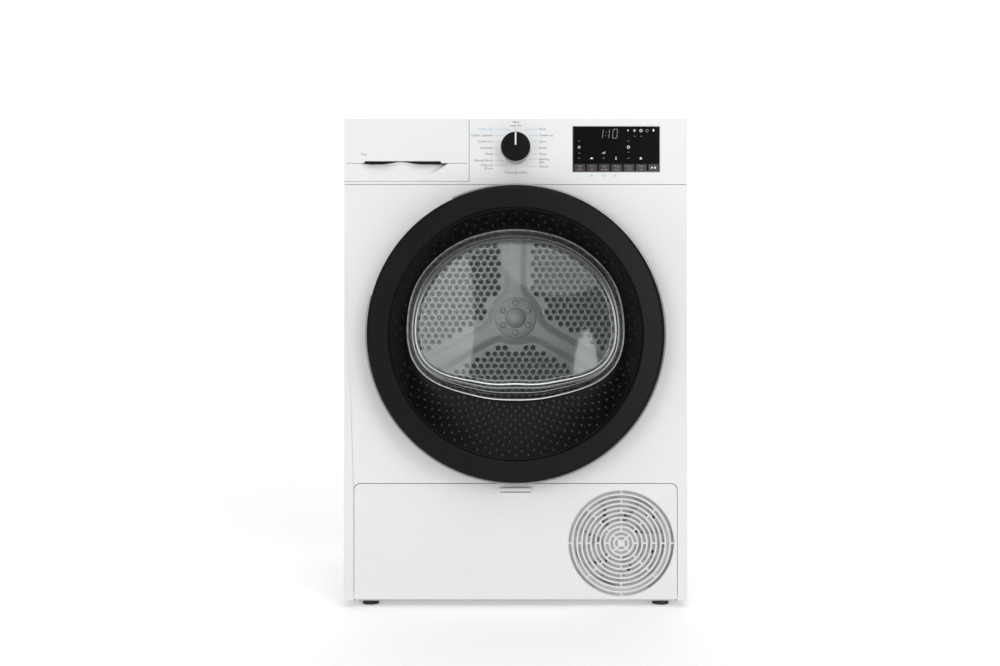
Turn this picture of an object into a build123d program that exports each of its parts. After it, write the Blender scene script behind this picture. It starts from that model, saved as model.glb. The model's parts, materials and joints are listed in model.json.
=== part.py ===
from build123d import *
import os
import math

os.makedirs("parts", exist_ok=True)

# ---------------------------------------------------------------- dimensions
W = 597.0            # cabinet width
H = 850.0            # overall height, feet included
Y_FRONT = -262.0     # plane of the front panel
Y_DOOR = -306.0      # front face of the door ring
Y_REAR = 306.0       # rearmost face (rear duct cover)
HX = W / 2           # half width
SHEET = 1.5          # sheet metal thickness
FOOT_H = 6.3         # visible foot height
FOOT_R = 14.5
FOOT_X = 255.6
FOOT_YF = -227.5
FOOT_YR = 262.0
SEAM_Z = 734.4       # seam between fascia and front panel
DRAWER_X = -80.3     # right end of the water tank drawer
DRAWER_Z = 739.8     # lower end of the water tank drawer
DOOR_Z = 475.0       # centre height of the door
DOOR_R = 254.0       # black ring outside radius
FUNNEL_R = 213.0     # funnel mouth radius
BOWL_Z = 507.9       # reference centre height of the bowl rim
BOWL_Y0 = -247.0     # bowl rim plane
BOWL_Y1 = -165.0     # deepest plane of the bowl
DRUM_Z = 510.0       # drum axis height
DRUM_R = 285.0       # drum outside radius
DRUM_Y0 = -200.0
DRUM_Y1 = 230.0
HINGE_X = 247.0      # door hinge axis
HINGE_Y = -284.0
KNOB_Z = 797.1
KNOB_R = 25.5
GRILLE_X = 183.6
GRILLE_Z = 111.5
MOTOR_X = 222.0
MOTOR_Z = 245.0
BELT_Y0, BELT_Y1 = -67.0, -53.0
PULLEY_R = 9.0
IDLER_R = 18.0
ROLLER_R = 24.0
RUN = 0.05           # radial running clearance of shafts
# bowl outline: radius about (0, BOWL_Z) every 10 degrees from -90 (down) to +90 (up)
RIM = [149.4, 150.8, 154.7, 161.3, 171.1, 184.5, 194.2, 197.2, 193.0, 189.4,
       185.8, 181.3, 174.9, 168.8, 162.9, 157.4, 153.6, 150.8, 150.4]
DEEP = [126.3, 129.4, 134.9, 142.2, 154.0, 169.2, 184.1, 189.6, 185.6, 181.4,
        175.9, 168.6, 162.2, 156.8, 149.5, 145.3, 141.3, 137.6, 137.6]


# ------------------------------------------------------------------- helpers
def bx(x0, x1, y0, y1, z0, z1):
    return Pos((x0 + x1) / 2, (y0 + y1) / 2, (z0 + z1) / 2) * Box(x1 - x0, y1 - y0, z1 - z0)


def cy(r, y0, y1, x=0.0, z=0.0):
    return Pos(x, (y0 + y1) / 2, z) * Rot(90, 0, 0) * Cylinder(r, y1 - y0)


def cz(r, z0, z1, x=0.0, y=0.0):
    return Pos(x, y, (z0 + z1) / 2) * Cylinder(r, z1 - z0)


def cx(r, x0, x1, y=0.0, z=0.0):
    return Pos((x0 + x1) / 2, y, z) * Rot(0, 90, 0) * Cylinder(r, x1 - x0)


def ring(r0, r1, y0, y1, x=0.0, z=0.0):
    return cy(r1, y0, y1, x, z) - cy(r0, y0 - 1, y1 + 1, x, z)


def fc(pts):
    return make_face(Polyline(*pts, close=True))


def pxz(pts, y0, y1):
    return extrude(Pos(0, y1, 0) * (Plane.XZ * fc(pts)), y1 - y0)


def pyz(pts, x0, x1):
    return extrude(Pos(x0, 0, 0) * (Plane.YZ * fc(pts)), x1 - x0)


def rev(pts, x=0.0, z=0.0):
    return Pos(x, 0, z) * revolve(fc(pts), Axis.Y, 360)


def rrxz(x0, x1, z0, z1, r, y0, y1):
    sk = RectangleRounded(x1 - x0, z1 - z0, r)
    return extrude(Pos((x0 + x1) / 2, y1, (z0 + z1) / 2) * (Plane.XZ * sk), y1 - y0)


def rod(p, q, r):
    a, b = Vector(*p), Vector(*q)
    d = b - a
    pl = Plane(origin=a, z_dir=d)
    return extrude(pl * Circle(r), d.length)


def tube(pts, r):
    s = rod(pts[0], pts[1], r)
    for i in range(1, len(pts) - 1):
        s = s + Pos(*pts[i]) * Sphere(r) + rod(pts[i], pts[i + 1], r)
    return s


def outline(table, grow, zc=BOWL_Z):
    """closed outline (x, z) from the radius table, 36 points"""
    out = []
    for k in range(36):
        a = -90 + 10 * k
        m = a if a <= 90 else 180 - a
        r = table[int(round((m + 90) / 10))] + grow
        out.append((r * math.cos(math.radians(a)), zc + r * math.sin(math.radians(a))))
    return out


def circle_pts(r, zc):
    return [(r * math.cos(math.radians(-90 + 10 * k)), zc + r * math.sin(math.radians(-90 + 10 * k)))
            for k in range(36)]


def spl(pts, y):
    e = Spline(*[(p[0], y, p[1]) for p in pts], periodic=True)
    return make_face(e)


def spl_prism(pts, y0, y1):
    return Solid.extrude(spl(pts, y0).face() if hasattr(spl(pts, y0), "face") else spl(pts, y0),
                         Vector(0, y1 - y0, 0))


def morph(p0, y0, p1, y1):
    return loft([spl(p0, y0), spl(p1, y1)], ruled=True)


def blend_pts(a, b, t):
    return [(p[0] * (1 - t) + q[0] * t, p[1] * (1 - t) + q[1] * t) for p, q in zip(a, b)]


def group(*solids):
    out = []
    for s in solids:
        out.extend(s.solids())
    return Compound(children=[Solid(o.wrapped) for o in out])


NODES = {}


def put(name, shape):
    sol = shape.solids()
    if len(sol) == 1:
        NODES[name] = sol[0]
    else:
        NODES[name] = Compound(children=[Solid(o.wrapped) for o in sol])


# ---------------------------------------------------------------- the cabinet
def side_panel(sx):
    a, b = (-HX, -HX + SHEET) if sx < 0 else (HX - SHEET, HX)
    p = bx(a, b, -249.5, 300, 14, 838)
    p = p - bx(a - 1, b + 1, -260, -235.5, SEAM_Z, 900)
    # folded front and rear returns
    if sx < 0:
        f0, f1 = b, b + 10
        d0, d1 = -HX, -HX + 4.5
        e0, e1 = -HX - 1, -HX + 3.0
    else:
        f0, f1 = a - 10, a
        d0, d1 = HX - 4.5, HX
        e0, e1 = HX - 3.0, HX + 1
    p = p + bx(f0, f1, -249.5, -248, 62, 730)
    p = p + bx(f0, f1, 298.5, 300, 62, 834)
    # shallow pressed field that stiffens the sheet
    p = p - bx(a - 1, b + 1, -170, 220, 130, 700)
    p = p + (bx(d0, d1, -170, 220, 130, 700) - bx(e0, e1, -168.5, 218.5, 131.5, 698.5))
    return p


put("side_panel_left", side_panel(-1))
put("side_panel_right", side_panel(1))

top = bx(-HX, HX, -235.5, 303, 838.5, H)
top = fillet(top.edges().filter_by(Axis.Z).group_by(Axis.Y)[-1], 6)
top = fillet(top.edges().group_by(Axis.Z)[-1].filter_by(Axis.Y), 2.0)
put("top_panel", top)

rear = bx(-297, 297, 300, 301.5, 14, 838)
rear = rear - cy(120, 295, 310, 0, DRUM_Z)
for k in range(7):
    rear = rear - rrxz(150, 260, 80 + 14 * k, 86 + 14 * k, 2.9, 295, 310)
# moulded mains cord gland
rear = rear + rev([(0, 293), (7.0, 293), (7.0, 301.5), (10.5, 301.5), (10.5, 304), (6.5, 305.6), (0, 305.6)], 262, 790)
put("rear_panel", rear)
put("rear_duct_cover", rev([(0, 302.5), (108, 302.5), (112, 301.5), (140, 301.5), (140, 303), (113, 303),
                            (109, Y_REAR), (0, Y_REAR)], 0, DRUM_Z))

# front panel: one sheet with the round loading opening and the service bay cut out
fp_sk = Rectangle(W, SEAM_Z - 12.4)
fp = extrude(Pos(0, Y_FRONT + SHEET, (SEAM_Z + 12.4) / 2) * (Plane.XZ * fp_sk), SHEET)
fp = fp - cy(228, -270, -255, 0, DOOR_Z)
bay = rrxz(-281.4, 281.4, -30, 215.8, 11.5, -270, -240)
fp = fp - bay
fp = fp - bx(-249, -230.5, -270, -255, 463, 487)           # latch slot
ret = bx(-HX, -HX + SHEET, Y_FRONT + SHEET, -250, 12.4, SEAM_Z) + \
    bx(HX - SHEET, HX, Y_FRONT + SHEET, -250, 12.4, SEAM_Z)
fp = fp + ret + bx(-HX + SHEET, HX - SHEET, Y_FRONT + SHEET, -250, SEAM_Z - SHEET, SEAM_Z)
put("front_panel", fp)

# fascia: hollow moulding, stepped round the drawer front
fa = bx(DRAWER_X, HX, Y_FRONT, -236, SEAM_Z + 0.8, H) + bx(-HX, DRAWER_X, Y_FRONT, -236, SEAM_Z + 0.8, DRAWER_Z)
fa = fa - bx(DRAWER_X + 3, HX - 3, Y_FRONT + 3, -230, SEAM_Z + 3.8, H - 3)
fa = fa - rrxz(98.6, 251.2, 755.9, 836.6, 1.6, -270, -250)
fa = fa - cy(9.0, -270, -250, 0, KNOB_Z)
fa = fillet(fa.edges().filter_by(Axis.Y).group_by(Axis.Z)[-1].group_by(Axis.X)[-1], 3.0)
put("fascia", fa)

# ------------------------------------------------------------- control panel
put("display_glass", rrxz(98.9, 250.9, 756.2, 836.3, 1.4, -262.3, -259.3))
db = bx(-24, 256, -256.4, -254.8, 750, 842)
db = db + bx(110, 240, -258.9, -256.4, 812, 830) + bx(103, 247, -258.9, -256.4, 758, 769)
db = db + bx(30, 60, -254.8, -240, 760, 800) + bx(66, 86, -254.8, -244, 806, 836) + bx(120, 230, -254.8, -250, 775, 805)
db = db + bx(-11, 11, -258.6, -246.6, KNOB_Z - 11, KNOB_Z + 11) - cy(3 + RUN, -270, -248, 0, KNOB_Z)
put("control_board", db)
knob = rev([(0, -290), (23.6, -290), (25.0, -289.2), (KNOB_R, -287.6), (25.9, -265.0), (25.9, -264.4),
            (23.5, -264.4), (22.2, -286), (7, -286), (7, -262.6), (3.0, -262.6), (3.0, -249), (0, -249)], 0, KNOB_Z)
put("program_knob", knob)
put("knob_ring", rev([(23.6, -264.3), (26.2, -264.3), (27.6, -263.6), (27.6, -262.3), (23.6, -262.3)], 0, KNOB_Z)
    + ring(7.0, 23.6, -263.4, -262.3, 0, KNOB_Z))

# ----------------------------------------------------------------- tank drawer
tf = bx(-HX, DRAWER_X - 0.6, Y_FRONT, -238.5, DRAWER_Z + 0.6, H)
tf = fillet(tf.edges().filter_by(Axis.Y).group_by(Axis.Z)[-1].group_by(Axis.X)[0], 3.0)
# scoop for the fingers: sloping recess under the lip
scoop = pyz([(-263, 772.4), (-243.5, 772.4), (-243.5, 763), (-247, 755), (-263, 746.0)], -270, -128)
scoop = scoop - pxz([(-118, 735), (-128 - 20, 735), (-118.5, 775), (-118, 775)], -270, -240)
tf = tf - scoop
tf = tf - bx(-HX + 3, DRAWER_X - 3.6, -241.5, -230, DRAWER_Z + 3.6, H - 3) 
put("tank_front", tf)


def drum_cut(shape, r):
    return shape - cy(r, -400, 400, 0, DRUM_Z)


tb = drum_cut(bx(-289.5, -95.5, -238.4, 232, 746, 832), 297)
tb = tb - drum_cut(bx(-287, -98, -235.8, 229.5, 748.5, 829.5), 299.5)
tb = tb - cz(16, 825, 840, -200, 190)          # filling hole
put("tank_body", tb)
th = drum_cut(bx(-293, -92, -234, 262, 741, 834), 291.5)
th = th - drum_cut(bx(-290.7, -94.3, -240, 236, 744.5, 900), 295.4)
th = th - bx(-290, -94, 238, 259, 760, 900)
put("tank_housing", th)

# ------------------------------------------------------------------- the base
bt = bx(-290, 290, -244, 298, 14, 60) - bx(-287, 287, -241, 295, 17, 61)
bt = bt + (bx(-276, 276, -240, 294, 6.8, 14) - bx(-272, 272, -236, 290, 6, 11))
bt = bt - bx(95, 272, -250, -240, 30, 61)
for fx in (-FOOT_X, FOOT_X):
    for fy in (FOOT_YF, FOOT_YR):
        bt = bt + cz(10, 10.9, 15, fx, fy)
for fx in (-FOOT_X, FOOT_X):
    for fy in (FOOT_YF, FOOT_YR):
        bt = bt - cz(4 + RUN, 0, 60, fx, fy)
for sx in (-1, 1):
    x0, x1 = (282.6, 286.6) if sx > 0 else (-286.6, -282.6)
    bt = bt + (bx(x0, x1, -260.2, -243, 16, 34) - cx(3.0 + RUN, x0 - 1, x1 + 1, -255, 21))
put("base_tray", bt)
feet = []
for fx in (-FOOT_X, FOOT_X):
    for fy in (FOOT_YF, FOOT_YR):
        pad = cz(FOOT_R, 0, FOOT_H, fx, fy)
        pad = chamfer(pad.edges().group_by(Axis.Z)[-1], 1.2)
        feet.append(pad + cz(4.0, FOOT_H - 0.5, 16.9, fx, fy))
put("feet", group(*feet))

# ---------------------------------------------------------------- service flap
fl = rrxz(-280.5, 280.5, 0, 214.8, 11, Y_FRONT, -250) - bx(-300, 300, -270, -240, -5, 14)
fl = fl - (rrxz(-278, 278, 4, 212.3, 9, Y_FRONT + 2.5, -245) - bx(-300, 300, -270, -240, -5, 16.5))
fl = fl + (cy(97, Y_FRONT + 2.5, -253, GRILLE_X, GRILLE_Z) & bx(0, 279, -270, -240, 14.5, 214))
fl = fl - cy(92.6, -270, -240, GRILLE_X, GRILLE_Z)
for sx in (-1, 1):
    fl = fl + bx(min(sx * 270, sx * 280.4), max(sx * 270, sx * 280.4), -259.6, -250, 16, 26)
fl = fl + pyz([(-260.5, 197.0), (-264.2, 197.6), (-265.0, 200.6), (-264.4, 204.0), (-260.5, 206.4)], -27, 27)
for sx in (-1, 1):
    fl = fl + cx(3.0, min(sx * 272, sx * 288.5), max(sx * 272, sx * 288.5), -255, 21)
put("service_flap", fl)

gr = Circle(92.4)
cut = None
for k in range(1, 12):
    rk = 8.03 * k + 0.5
    a = Circle(rk + 2.55) - Circle(rk - 2.55)
    diag = k in (1, 2, 4, 6, 8, 10)
    rects = Rectangle(200, 2.7) + Rectangle(2.7, 200)
    if diag:
        rects = Rot(0, 0, 45) * rects
    a = a - rects
    cut = a if cut is None else cut + a
gr = gr - cut
put("grille", extrude(Pos(GRILLE_X, -258.6, GRILLE_Z) * (Plane.XZ * gr), 3.4))

# ------------------------------------------------------------------- cooling fan
sh = ring(81, 84, -238, -204, GRILLE_X, GRILLE_Z)
sh = sh + (bx(96, 271, -238, -236, 30, 199) - cy(81, -250, -200, GRILLE_X, GRILLE_Z))
sh = sh + bx(125, 241, -230, -206, 17, 31) - cy(81, -250, -190, GRILLE_X, GRILLE_Z)
for ang in (0, 90, 180, 270):
    sh = sh + Pos(GRILLE_X, 0, GRILLE_Z) * Rot(0, ang, 0) * bx(20, 82.5, -206.5, -204, -4, 4)
sh = sh + cy(26, -208, -176, GRILLE_X, GRILLE_Z) - cy(3 + RUN, -210, -180, GRILLE_X, GRILLE_Z)
put("fan_shroud", sh)
fan = cy(30, -231, -215, GRILLE_X, GRILLE_Z) + cy(3.0, -216, -184, GRILLE_X, GRILLE_Z)
for k in range(7):
    bl = Pos(53, -223, 0) * Rot(28, 0, 0) * Box(50, 2.4, 26)
    fan = fan + Pos(GRILLE_X, 0, GRILLE_Z) * Rot(0, 360 / 7 * k, 0) * bl
put("cooling_fan", fan)

# ------------------------------------------------------------- front bulkhead
bh = bx(-290, 290, -232, -229, 219, 733)
bh = bh + pxz([(-290, 733), (-92, 733), (-92, 733.4), (-85, 733.4), (-85, 790), (85, 790), (290, 790), (290, 733)], -232, -229)
bh = bh + ring(216, 219, -257, -229, 0, DOOR_Z)
bh = bh + ring(276, 280, -230, -203.5, 0, DRUM_Z) - bx(-300, -60, -228.9, -200, 741, 900)
bh = bh - spl_prism(outline(RIM, 14), -240, -220)
bh = bh - bx(-121, 121, -228, -200, 215, 339)
bh = bh - cy(15.2, -240, -220, 62, 705)
for sx in (-1, 1):
    bh = bh + cy(5.0, -230, -171, sx * 177.4, 256.6)
fh = bx(-122, 122, -230, -205.5, 216, 340) - bx(-119.5, 119.5, -226.4, -208, 215, 341)
bh = bh + fh
put("front_bulkhead", bh)
put("door_seal", ring(219.3, 227.4, -265.4, -252, 0, DOOR_Z) - ring(222.5, 224.5, -266, -258, 0, DOOR_Z))
put("felt_seals", group(ring(268.5, 282, -203.4, -200.5, 0, DRUM_Z), ring(259, 267, 231, 235.9, 0, DRUM_Z)))
put("drum_lamp", cy(15, -233.5, -220, 62, 705) + cy(9, -220, -214, 62, 705))

ff = bx(-118.6, 118.6, -225.6, -208.8, 226, 336) - bx(-115, 115, -223, -211.4, 220, 330)
ff = ff - bx(-110, -2, -230, -200, 232, 322) - bx(2, 110, -230, -200, 232, 322)
ff = ff - bx(-30, 30, -221, -213, 332, 340)
put("lint_filter_frame", ff)
put("lint_filter_mesh", group(bx(-109.8, -2.2, -225.0, -224.2, 232.2, 321.8), bx(2.2, 109.8, -225.0, -224.2, 232.2, 321.8),
                              bx(-109.8, -2.2, -210.2, -209.4, 232.2, 321.8), bx(2.2, 109.8, -210.2, -209.4, 232.2, 321.8)))
put("latch_socket", bx(-252.5, -227.9, -260.4, -236, 457, 493) - bx(-249.5, -230.5, -262, -239, 462, 488))
for nm, sx in (("roller_left", -1), ("roller_right", 1)):
    rl = rev([(5 + RUN, -196), (9, -196), (9, -192), (22, -192), (22, -195), (ROLLER_R, -195), (ROLLER_R, -175),
              (22, -175), (22, -178), (9, -178), (9, -174), (5 + RUN, -174)], sx * 177.4, 256.6)
    put(nm, rl)

# --------------------------------------------------------------------- the door
door = rev([(216.4, Y_DOOR + 1.6), (219, Y_DOOR), (248, Y_DOOR), (251.2, Y_DOOR + 0.9), (253.2, Y_DOOR + 2.9),
            (DOOR_R, Y_DOOR + 6), (DOOR_R, -266.6), (250, -266.6), (250, -301), (220, -301), (220, -270.6), (216.4, -270.6)],
           0, DOOR_Z)
slot = bx(222, 270, -292, -260, DOOR_Z - 38, DOOR_Z + 38)
leafbed = bx(216, 254, -297, -287.5, DOOR_Z - 14.4, DOOR_Z + 14.4)


def sector(r0, r1, a0, a1, y0, y1, zc):
    pts = []
    n = 16
    for i in range(n + 1):
        a = math.radians(a0 + (a1 - a0) * i / n)
        pts.append((r1 * math.cos(a), zc + r1 * math.sin(a)))
    for i in range(n + 1):
        a = math.radians(a1 - (a1 - a0) * i / n)
        pts.append((r0 * math.cos(a), zc + r0 * math.sin(a)))
    return pxz(pts, y0, y1)


grip_wall = sector(233.2, 252, 113.3, 166.7, -301.5, -270.8, DOOR_Z) - sector(236.5, 262, 115, 165, -299.7, -262, DOOR_Z)
door = door - slot
door = door - sector(233, 262, 113, 167, -299.5, -262, DOOR_Z)
door = door + grip_wall
put("door_ring", door)
band = rev([(DOOR_R + 0.05, -300), (256.6, -299.4), (257.2, -297.5), (257.2, -293.4), (DOOR_R + 0.05, -293.4)], 0, DOOR_Z)
put("door_rim_band", band - sector(240, 262, 115, 165, -302, -262, DOOR_Z))

fo = loft([spl(circle_pts(216.2, DOOR_Z), Y_DOOR + 2.2), spl(outline(RIM, 3.0), BOWL_Y0)], ruled=True)
fi = loft([spl(circle_pts(FUNNEL_R, DOOR_Z), Y_DOOR + 2.2), spl(outline(RIM, 0.0), BOWL_Y0)], ruled=True)
put("door_funnel", fo - fi)

b_out = loft([spl(outline(RIM, -0.4), BOWL_Y0 + 3.5), spl(outline(DEEP, 0.0, 509.1), BOWL_Y1)], ruled=True)
inner0 = outline(RIM, -4.2)
inner1 = outline(DEEP, -4.0, 509.1)
b_in = loft([spl(inner0, BOWL_Y0), spl(inner1, BOWL_Y1 - 4.0)], ruled=True)
flange = spl_prism(outline(RIM, 9.0), BOWL_Y0, BOWL_Y0 + 3.5)
put("door_glass_bowl", b_out + flange - b_in)

bf = rev([(206.5, -270.4), (249.8, -270.4), (249.8, -266.6), (209.5, -266.6), (209.5, -239.5), (150, -239.5), (150, -243.4),
          (206.5, -243.4)], 0, DOOR_Z)
bf = bf + (cy(207, -243.4, -239.5, 0, DOOR_Z))
bf = bf - spl_prism(outline(RIM, 1.0), -250, -235)
bf = bf - slot - sector(232.6, 262, 112.8, 167.2, -280, -260, DOOR_Z)
bf = bf + bx(-243, -236, -268, -249, 470, 480) + bx(-243, -233, -249.5, -244, 470, 480)
put("door_back_frame", bf)

leaf = cz(4.5, DOOR_Z - 14, DOOR_Z + 14, HINGE_X, HINGE_Y) - cz(2.5 + RUN, DOOR_Z - 20, DOOR_Z + 20, HINGE_X, HINGE_Y)
leaf_arm = bx(222, 246, -292, -289.5, DOOR_Z - 14, DOOR_Z + 14) + bx(240.5, 246.5, -291.9, -286.5, DOOR_Z - 14, DOOR_Z + 14)
leaf = leaf + (leaf_arm - cz(2.5 + RUN, DOOR_Z - 20, DOOR_Z + 20, HINGE_X, HINGE_Y))
leaf = leaf + bx(220.1, 223, -292, -272, DOOR_Z - 14, DOOR_Z + 14)
put("door_hinge_leaf", leaf)
br = bx(228.5, 250, -264.4, -262.1, DOOR_Z - 34, DOOR_Z + 34)
for s in (-1, 1):
    z0, z1 = (DOOR_Z + 15, DOOR_Z + 27) if s > 0 else (DOOR_Z - 27, DOOR_Z - 15)
    web = extrude(Pos(0, 0, z0) * fc([(HINGE_X - 3.4, HINGE_Y + 1), (HINGE_X + 2.2, HINGE_Y + 2), (240.5, -263), (233.5, -263)]), z1 - z0)
    br = br + web + cz(4.5, z0, z1, HINGE_X, HINGE_Y)
br = br + cz(2.5, DOOR_Z - 26, DOOR_Z + 26, HINGE_X, HINGE_Y)
put("hinge_bracket", br)

# --------------------------------------------------------------------- the drum
ds = rev([(266, DRUM_Y0), (DRUM_R - 1, DRUM_Y0), (DRUM_R, DRUM_Y0 + 1), (DRUM_R, DRUM_Y1), (DRUM_R - 1.5, DRUM_Y1),
          (DRUM_R - 1.5, DRUM_Y0 + 1.5), (266, DRUM_Y0 + 1.5)], 0, DRUM_Z)
put("drum_shell", ds)


def arm_pts():
    """star arm outline with flared shoulders, pointing up"""
    return [(-44, 0), (-38, 36), (-24, 60), (-20, 84), (-19, 262), (19, 262), (20, 84), (24, 60), (38, 36), (44, 0)]


bk = Circle(DRUM_R - 1.7)
holes = []
star = fc(arm_pts())
for k in range(3):
    star_k = Rot(0, 0, 120 * k) * fc(arm_pts())
    star = star + star_k if k else star_k
star = star + Circle(58)
pitch = 22.0
loc = []
for i in range(-14, 15):
    for j in range(-14, 15):
        x = pitch * (i + 0.5 * (j % 2))
        z = pitch * 0.866 * j
        rr = math.hypot(x, z)
        if rr > 232 or rr < 66:
            continue
        ok = True
        for k in range(3):
            a = math.radians(90 + 120 * k)
            u = x * math.cos(a) + z * math.sin(a)
            v = abs(-x * math.sin(a) + z * math.cos(a))
            lim = 30 if u > 80 else 30 + (80 - u) * 0.7
            if u > 0 and v < lim:
                ok = False
        if ok:
            loc.append((x, z))
pat = Sketch() + [Pos(p[0], p[1]) * Circle(6.0) for p in loc]
bk = bk - pat
back = extrude(Pos(0, DRUM_Y1 - 1.0, DRUM_Z) * (Plane.XZ * bk), 1.5)
star3 = extrude(Pos(0, DRUM_Y1 - 2.5, DRUM_Z) * (Plane.XZ * star), 5.0)
star3 = star3 & cy(255, 0, 400, 0, DRUM_Z)
back = back + star3
put("drum_back", back)

lifts = []
for k in range(3):
    a = 30 + 120 * k
    sec = [(-38, -283), (-16, -226), (0, -219), (16, -226), (38, -283)]
    pr = extrude(Pos(0, 205, 0) * (Plane.XZ * fc(sec)), 355)
    pr = pr & cy(283.3, -400, 400)
    pr = pr - pyz([(-160, -210), (-160, -284), (-120, -210)], -60, 60)
    lifts.append(Pos(0, 0, DRUM_Z) * Rot(0, -(a - 270), 0) * pr)
put("drum_lifters", group(*lifts))
hub = rev([(0, 216.2), (14, 217.2), (21, 219.4), (23, 221), (43, 221), (45, 222.4), (0, 222.4)], 0, DRUM_Z)
for k in range(6):
    a = math.radians(30 + 60 * k)
    hub = hub + cy(5.5, 219.4, 221.6, 31.5 * math.cos(a), DRUM_Z + 31.5 * math.sin(a))
put("drum_hub_cap", hub)
put("drum_shaft", cy(12.5, 236, 290, 0, DRUM_Z) + cy(46, 229.1, 236, 0, DRUM_Z))

# --------------------------------------------------------- rear bulkhead and duct
rb = bx(-294, 294, 272, 274, 62, 836)
rb = rb - bx(-268, -32, 265, 280, 66, 200)
rb = rb - cy(40, 265, 280, MOTOR_X, MOTOR_Z)
rb = rb + (ring(262, 265, 236, 273, 0, DRUM_Z) - bx(198, 226, 230, 271.0, 320, 372))
rb = rb + cy(60, 268, 273, 0, DRUM_Z) + cy(34, 258, 288, 0, DRUM_Z)
rb = rb - cy(12.5 + RUN, 250, 300, 0, DRUM_Z)
put("rear_bulkhead", rb)
fs = cy(68, 237, 270, MOTOR_X, MOTOR_Z) - cy(65, 239.5, 268, MOTOR_X, MOTOR_Z)
fs = fs - cy(12, 230, 245, MOTOR_X, MOTOR_Z) - cy(40, 260, 280, MOTOR_X, MOTOR_Z)
fs = fs - bx(198, 226, 241, 267, 290, 320)
fo2 = bx(194, 230, 238, 270, 300, 370) - bx(197, 227, 241, 267, 290, 375)
fo2 = fo2 - cy(66.5, 230, 280, MOTOR_X, MOTOR_Z) - cy(265.05, 230, 280, 0, DRUM_Z)
put("fan_scroll", fs + fo2)
fi2 = bx(-280, 291, 274.2, 297.5, 64, 318) - bx(-277, 288, 272, 295, 67, 315)
fi2 = fi2 - bx(-20, 291, 272, 299, 60, 170)
fi2 = fi2 + (bx(-23, 291, 274.2, 297.5, 170, 173) + bx(-23, -20, 274.2, 297.5, 64, 173))
put("fan_inlet_duct", fi2)
fw = rev([(7, 243), (56, 243), (56, 241.5), (58, 241.5), (58, 264), (56, 264), (56, 245), (7, 245)], MOTOR_X, MOTOR_Z)
fw = fw + ring(6.0, 10, 241.5, 258, MOTOR_X, MOTOR_Z)
for k in range(16):
    bl = Pos(48, 254, 0) * Rot(0, 35, 0) * Box(18, 18, 1.6)
    fw = fw + Pos(MOTOR_X, 0, MOTOR_Z) * Rot(0, 22.5 * k, 0) * bl
put("process_fan", fw)

# ------------------------------------------------------------------- drive train
put("motor_shaft", cy(6.0, -74, 258, MOTOR_X, MOTOR_Z) + cy(PULLEY_R, BELT_Y0 - 3, BELT_Y1 + 3, MOTOR_X, MOTOR_Z)
    + cy(12.0, BELT_Y0 - 4.6, BELT_Y0 - 1.0, MOTOR_X, MOTOR_Z) + cy(12.0, BELT_Y1 + 1.0, BELT_Y1 + 4.6, MOTOR_X, MOTOR_Z))
mb = cy(52, -30, 120, MOTOR_X, MOTOR_Z) - cy(6 + RUN, -40, 130, MOTOR_X, MOTOR_Z)
for k in range(12):
    mb = mb - Pos(MOTOR_X, 45, MOTOR_Z) * Rot(0, 30 * k, 0) * Pos(52, 0, 0) * Box(5, 90, 6)
put("motor_body", mb)
mk = bx(176, 268, -22, -18, 17, 245) + bx(176, 268, 108, 112, 17, 245)
mk = mk - cy(52.05, -40, 130, MOTOR_X, MOTOR_Z)


def loop(r1, r2, y0, y1):
    dx, dz = MOTOR_X, MOTOR_Z - DRUM_Z
    d = math.hypot(dx, dz)
    base = math.atan2(dz, dx)
    ph = math.acos((r1 - r2) / d)
    a, b = base + ph, base - ph
    pts = [(r1 * math.cos(a), DRUM_Z + r1 * math.sin(a)),
           (MOTOR_X + r2 * math.cos(a), MOTOR_Z + r2 * math.sin(a)),
           (MOTOR_X + r2 * math.cos(b), MOTOR_Z + r2 * math.sin(b)),
           (r1 * math.cos(b), DRUM_Z + r1 * math.sin(b)), (0, DRUM_Z)]
    return cy(r1, y0, y1, 0, DRUM_Z) + cy(r2, y0, y1, MOTOR_X, MOTOR_Z) + pxz(pts, y0, y1)


put("drive_belt", loop(DRUM_R + 2.3, PULLEY_R + 2.3, BELT_Y0, BELT_Y1)
    - loop(DRUM_R + 0.3, PULLEY_R + 0.3, BELT_Y0 - 1, BELT_Y1 + 1))
IDX, IDZ = 140.4, 210.9
put("idler_pulley", ring(4 + RUN, IDLER_R, BELT_Y0 - 1, BELT_Y1 + 1, IDX, IDZ))
put("motor_bracket", group(mk, bx(IDX - 12, IDX + 12, -48, -44, 17, IDZ + 12) + cy(4.0, BELT_Y0 - 4, -45, IDX, IDZ)
    + bx(IDX - 12, IDX + 12, -45, -24, 17, 20)))

# --------------------------------------------------------------------- heat pump
hxh = bx(-280, -20, -225, 272, 17, 215) - bx(-277, -23, -230, 280, 20, 212)
hxh = hxh - bx(-118, -28, -222, -209, 205, 220)
put("heat_exchanger_housing", hxh)


def finpack(y0, y1):
    s = Rectangle(236, 176)
    n = 30
    cutp = Sketch() + [Pos(-118 + 236 * (i + 0.5) / n, 0) * Rectangle(6.5, 164) for i in range(n)]
    s = s - cutp
    return extrude(Pos(-150, y1, 116) * (Plane.XZ * s), y1 - y0)


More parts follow.
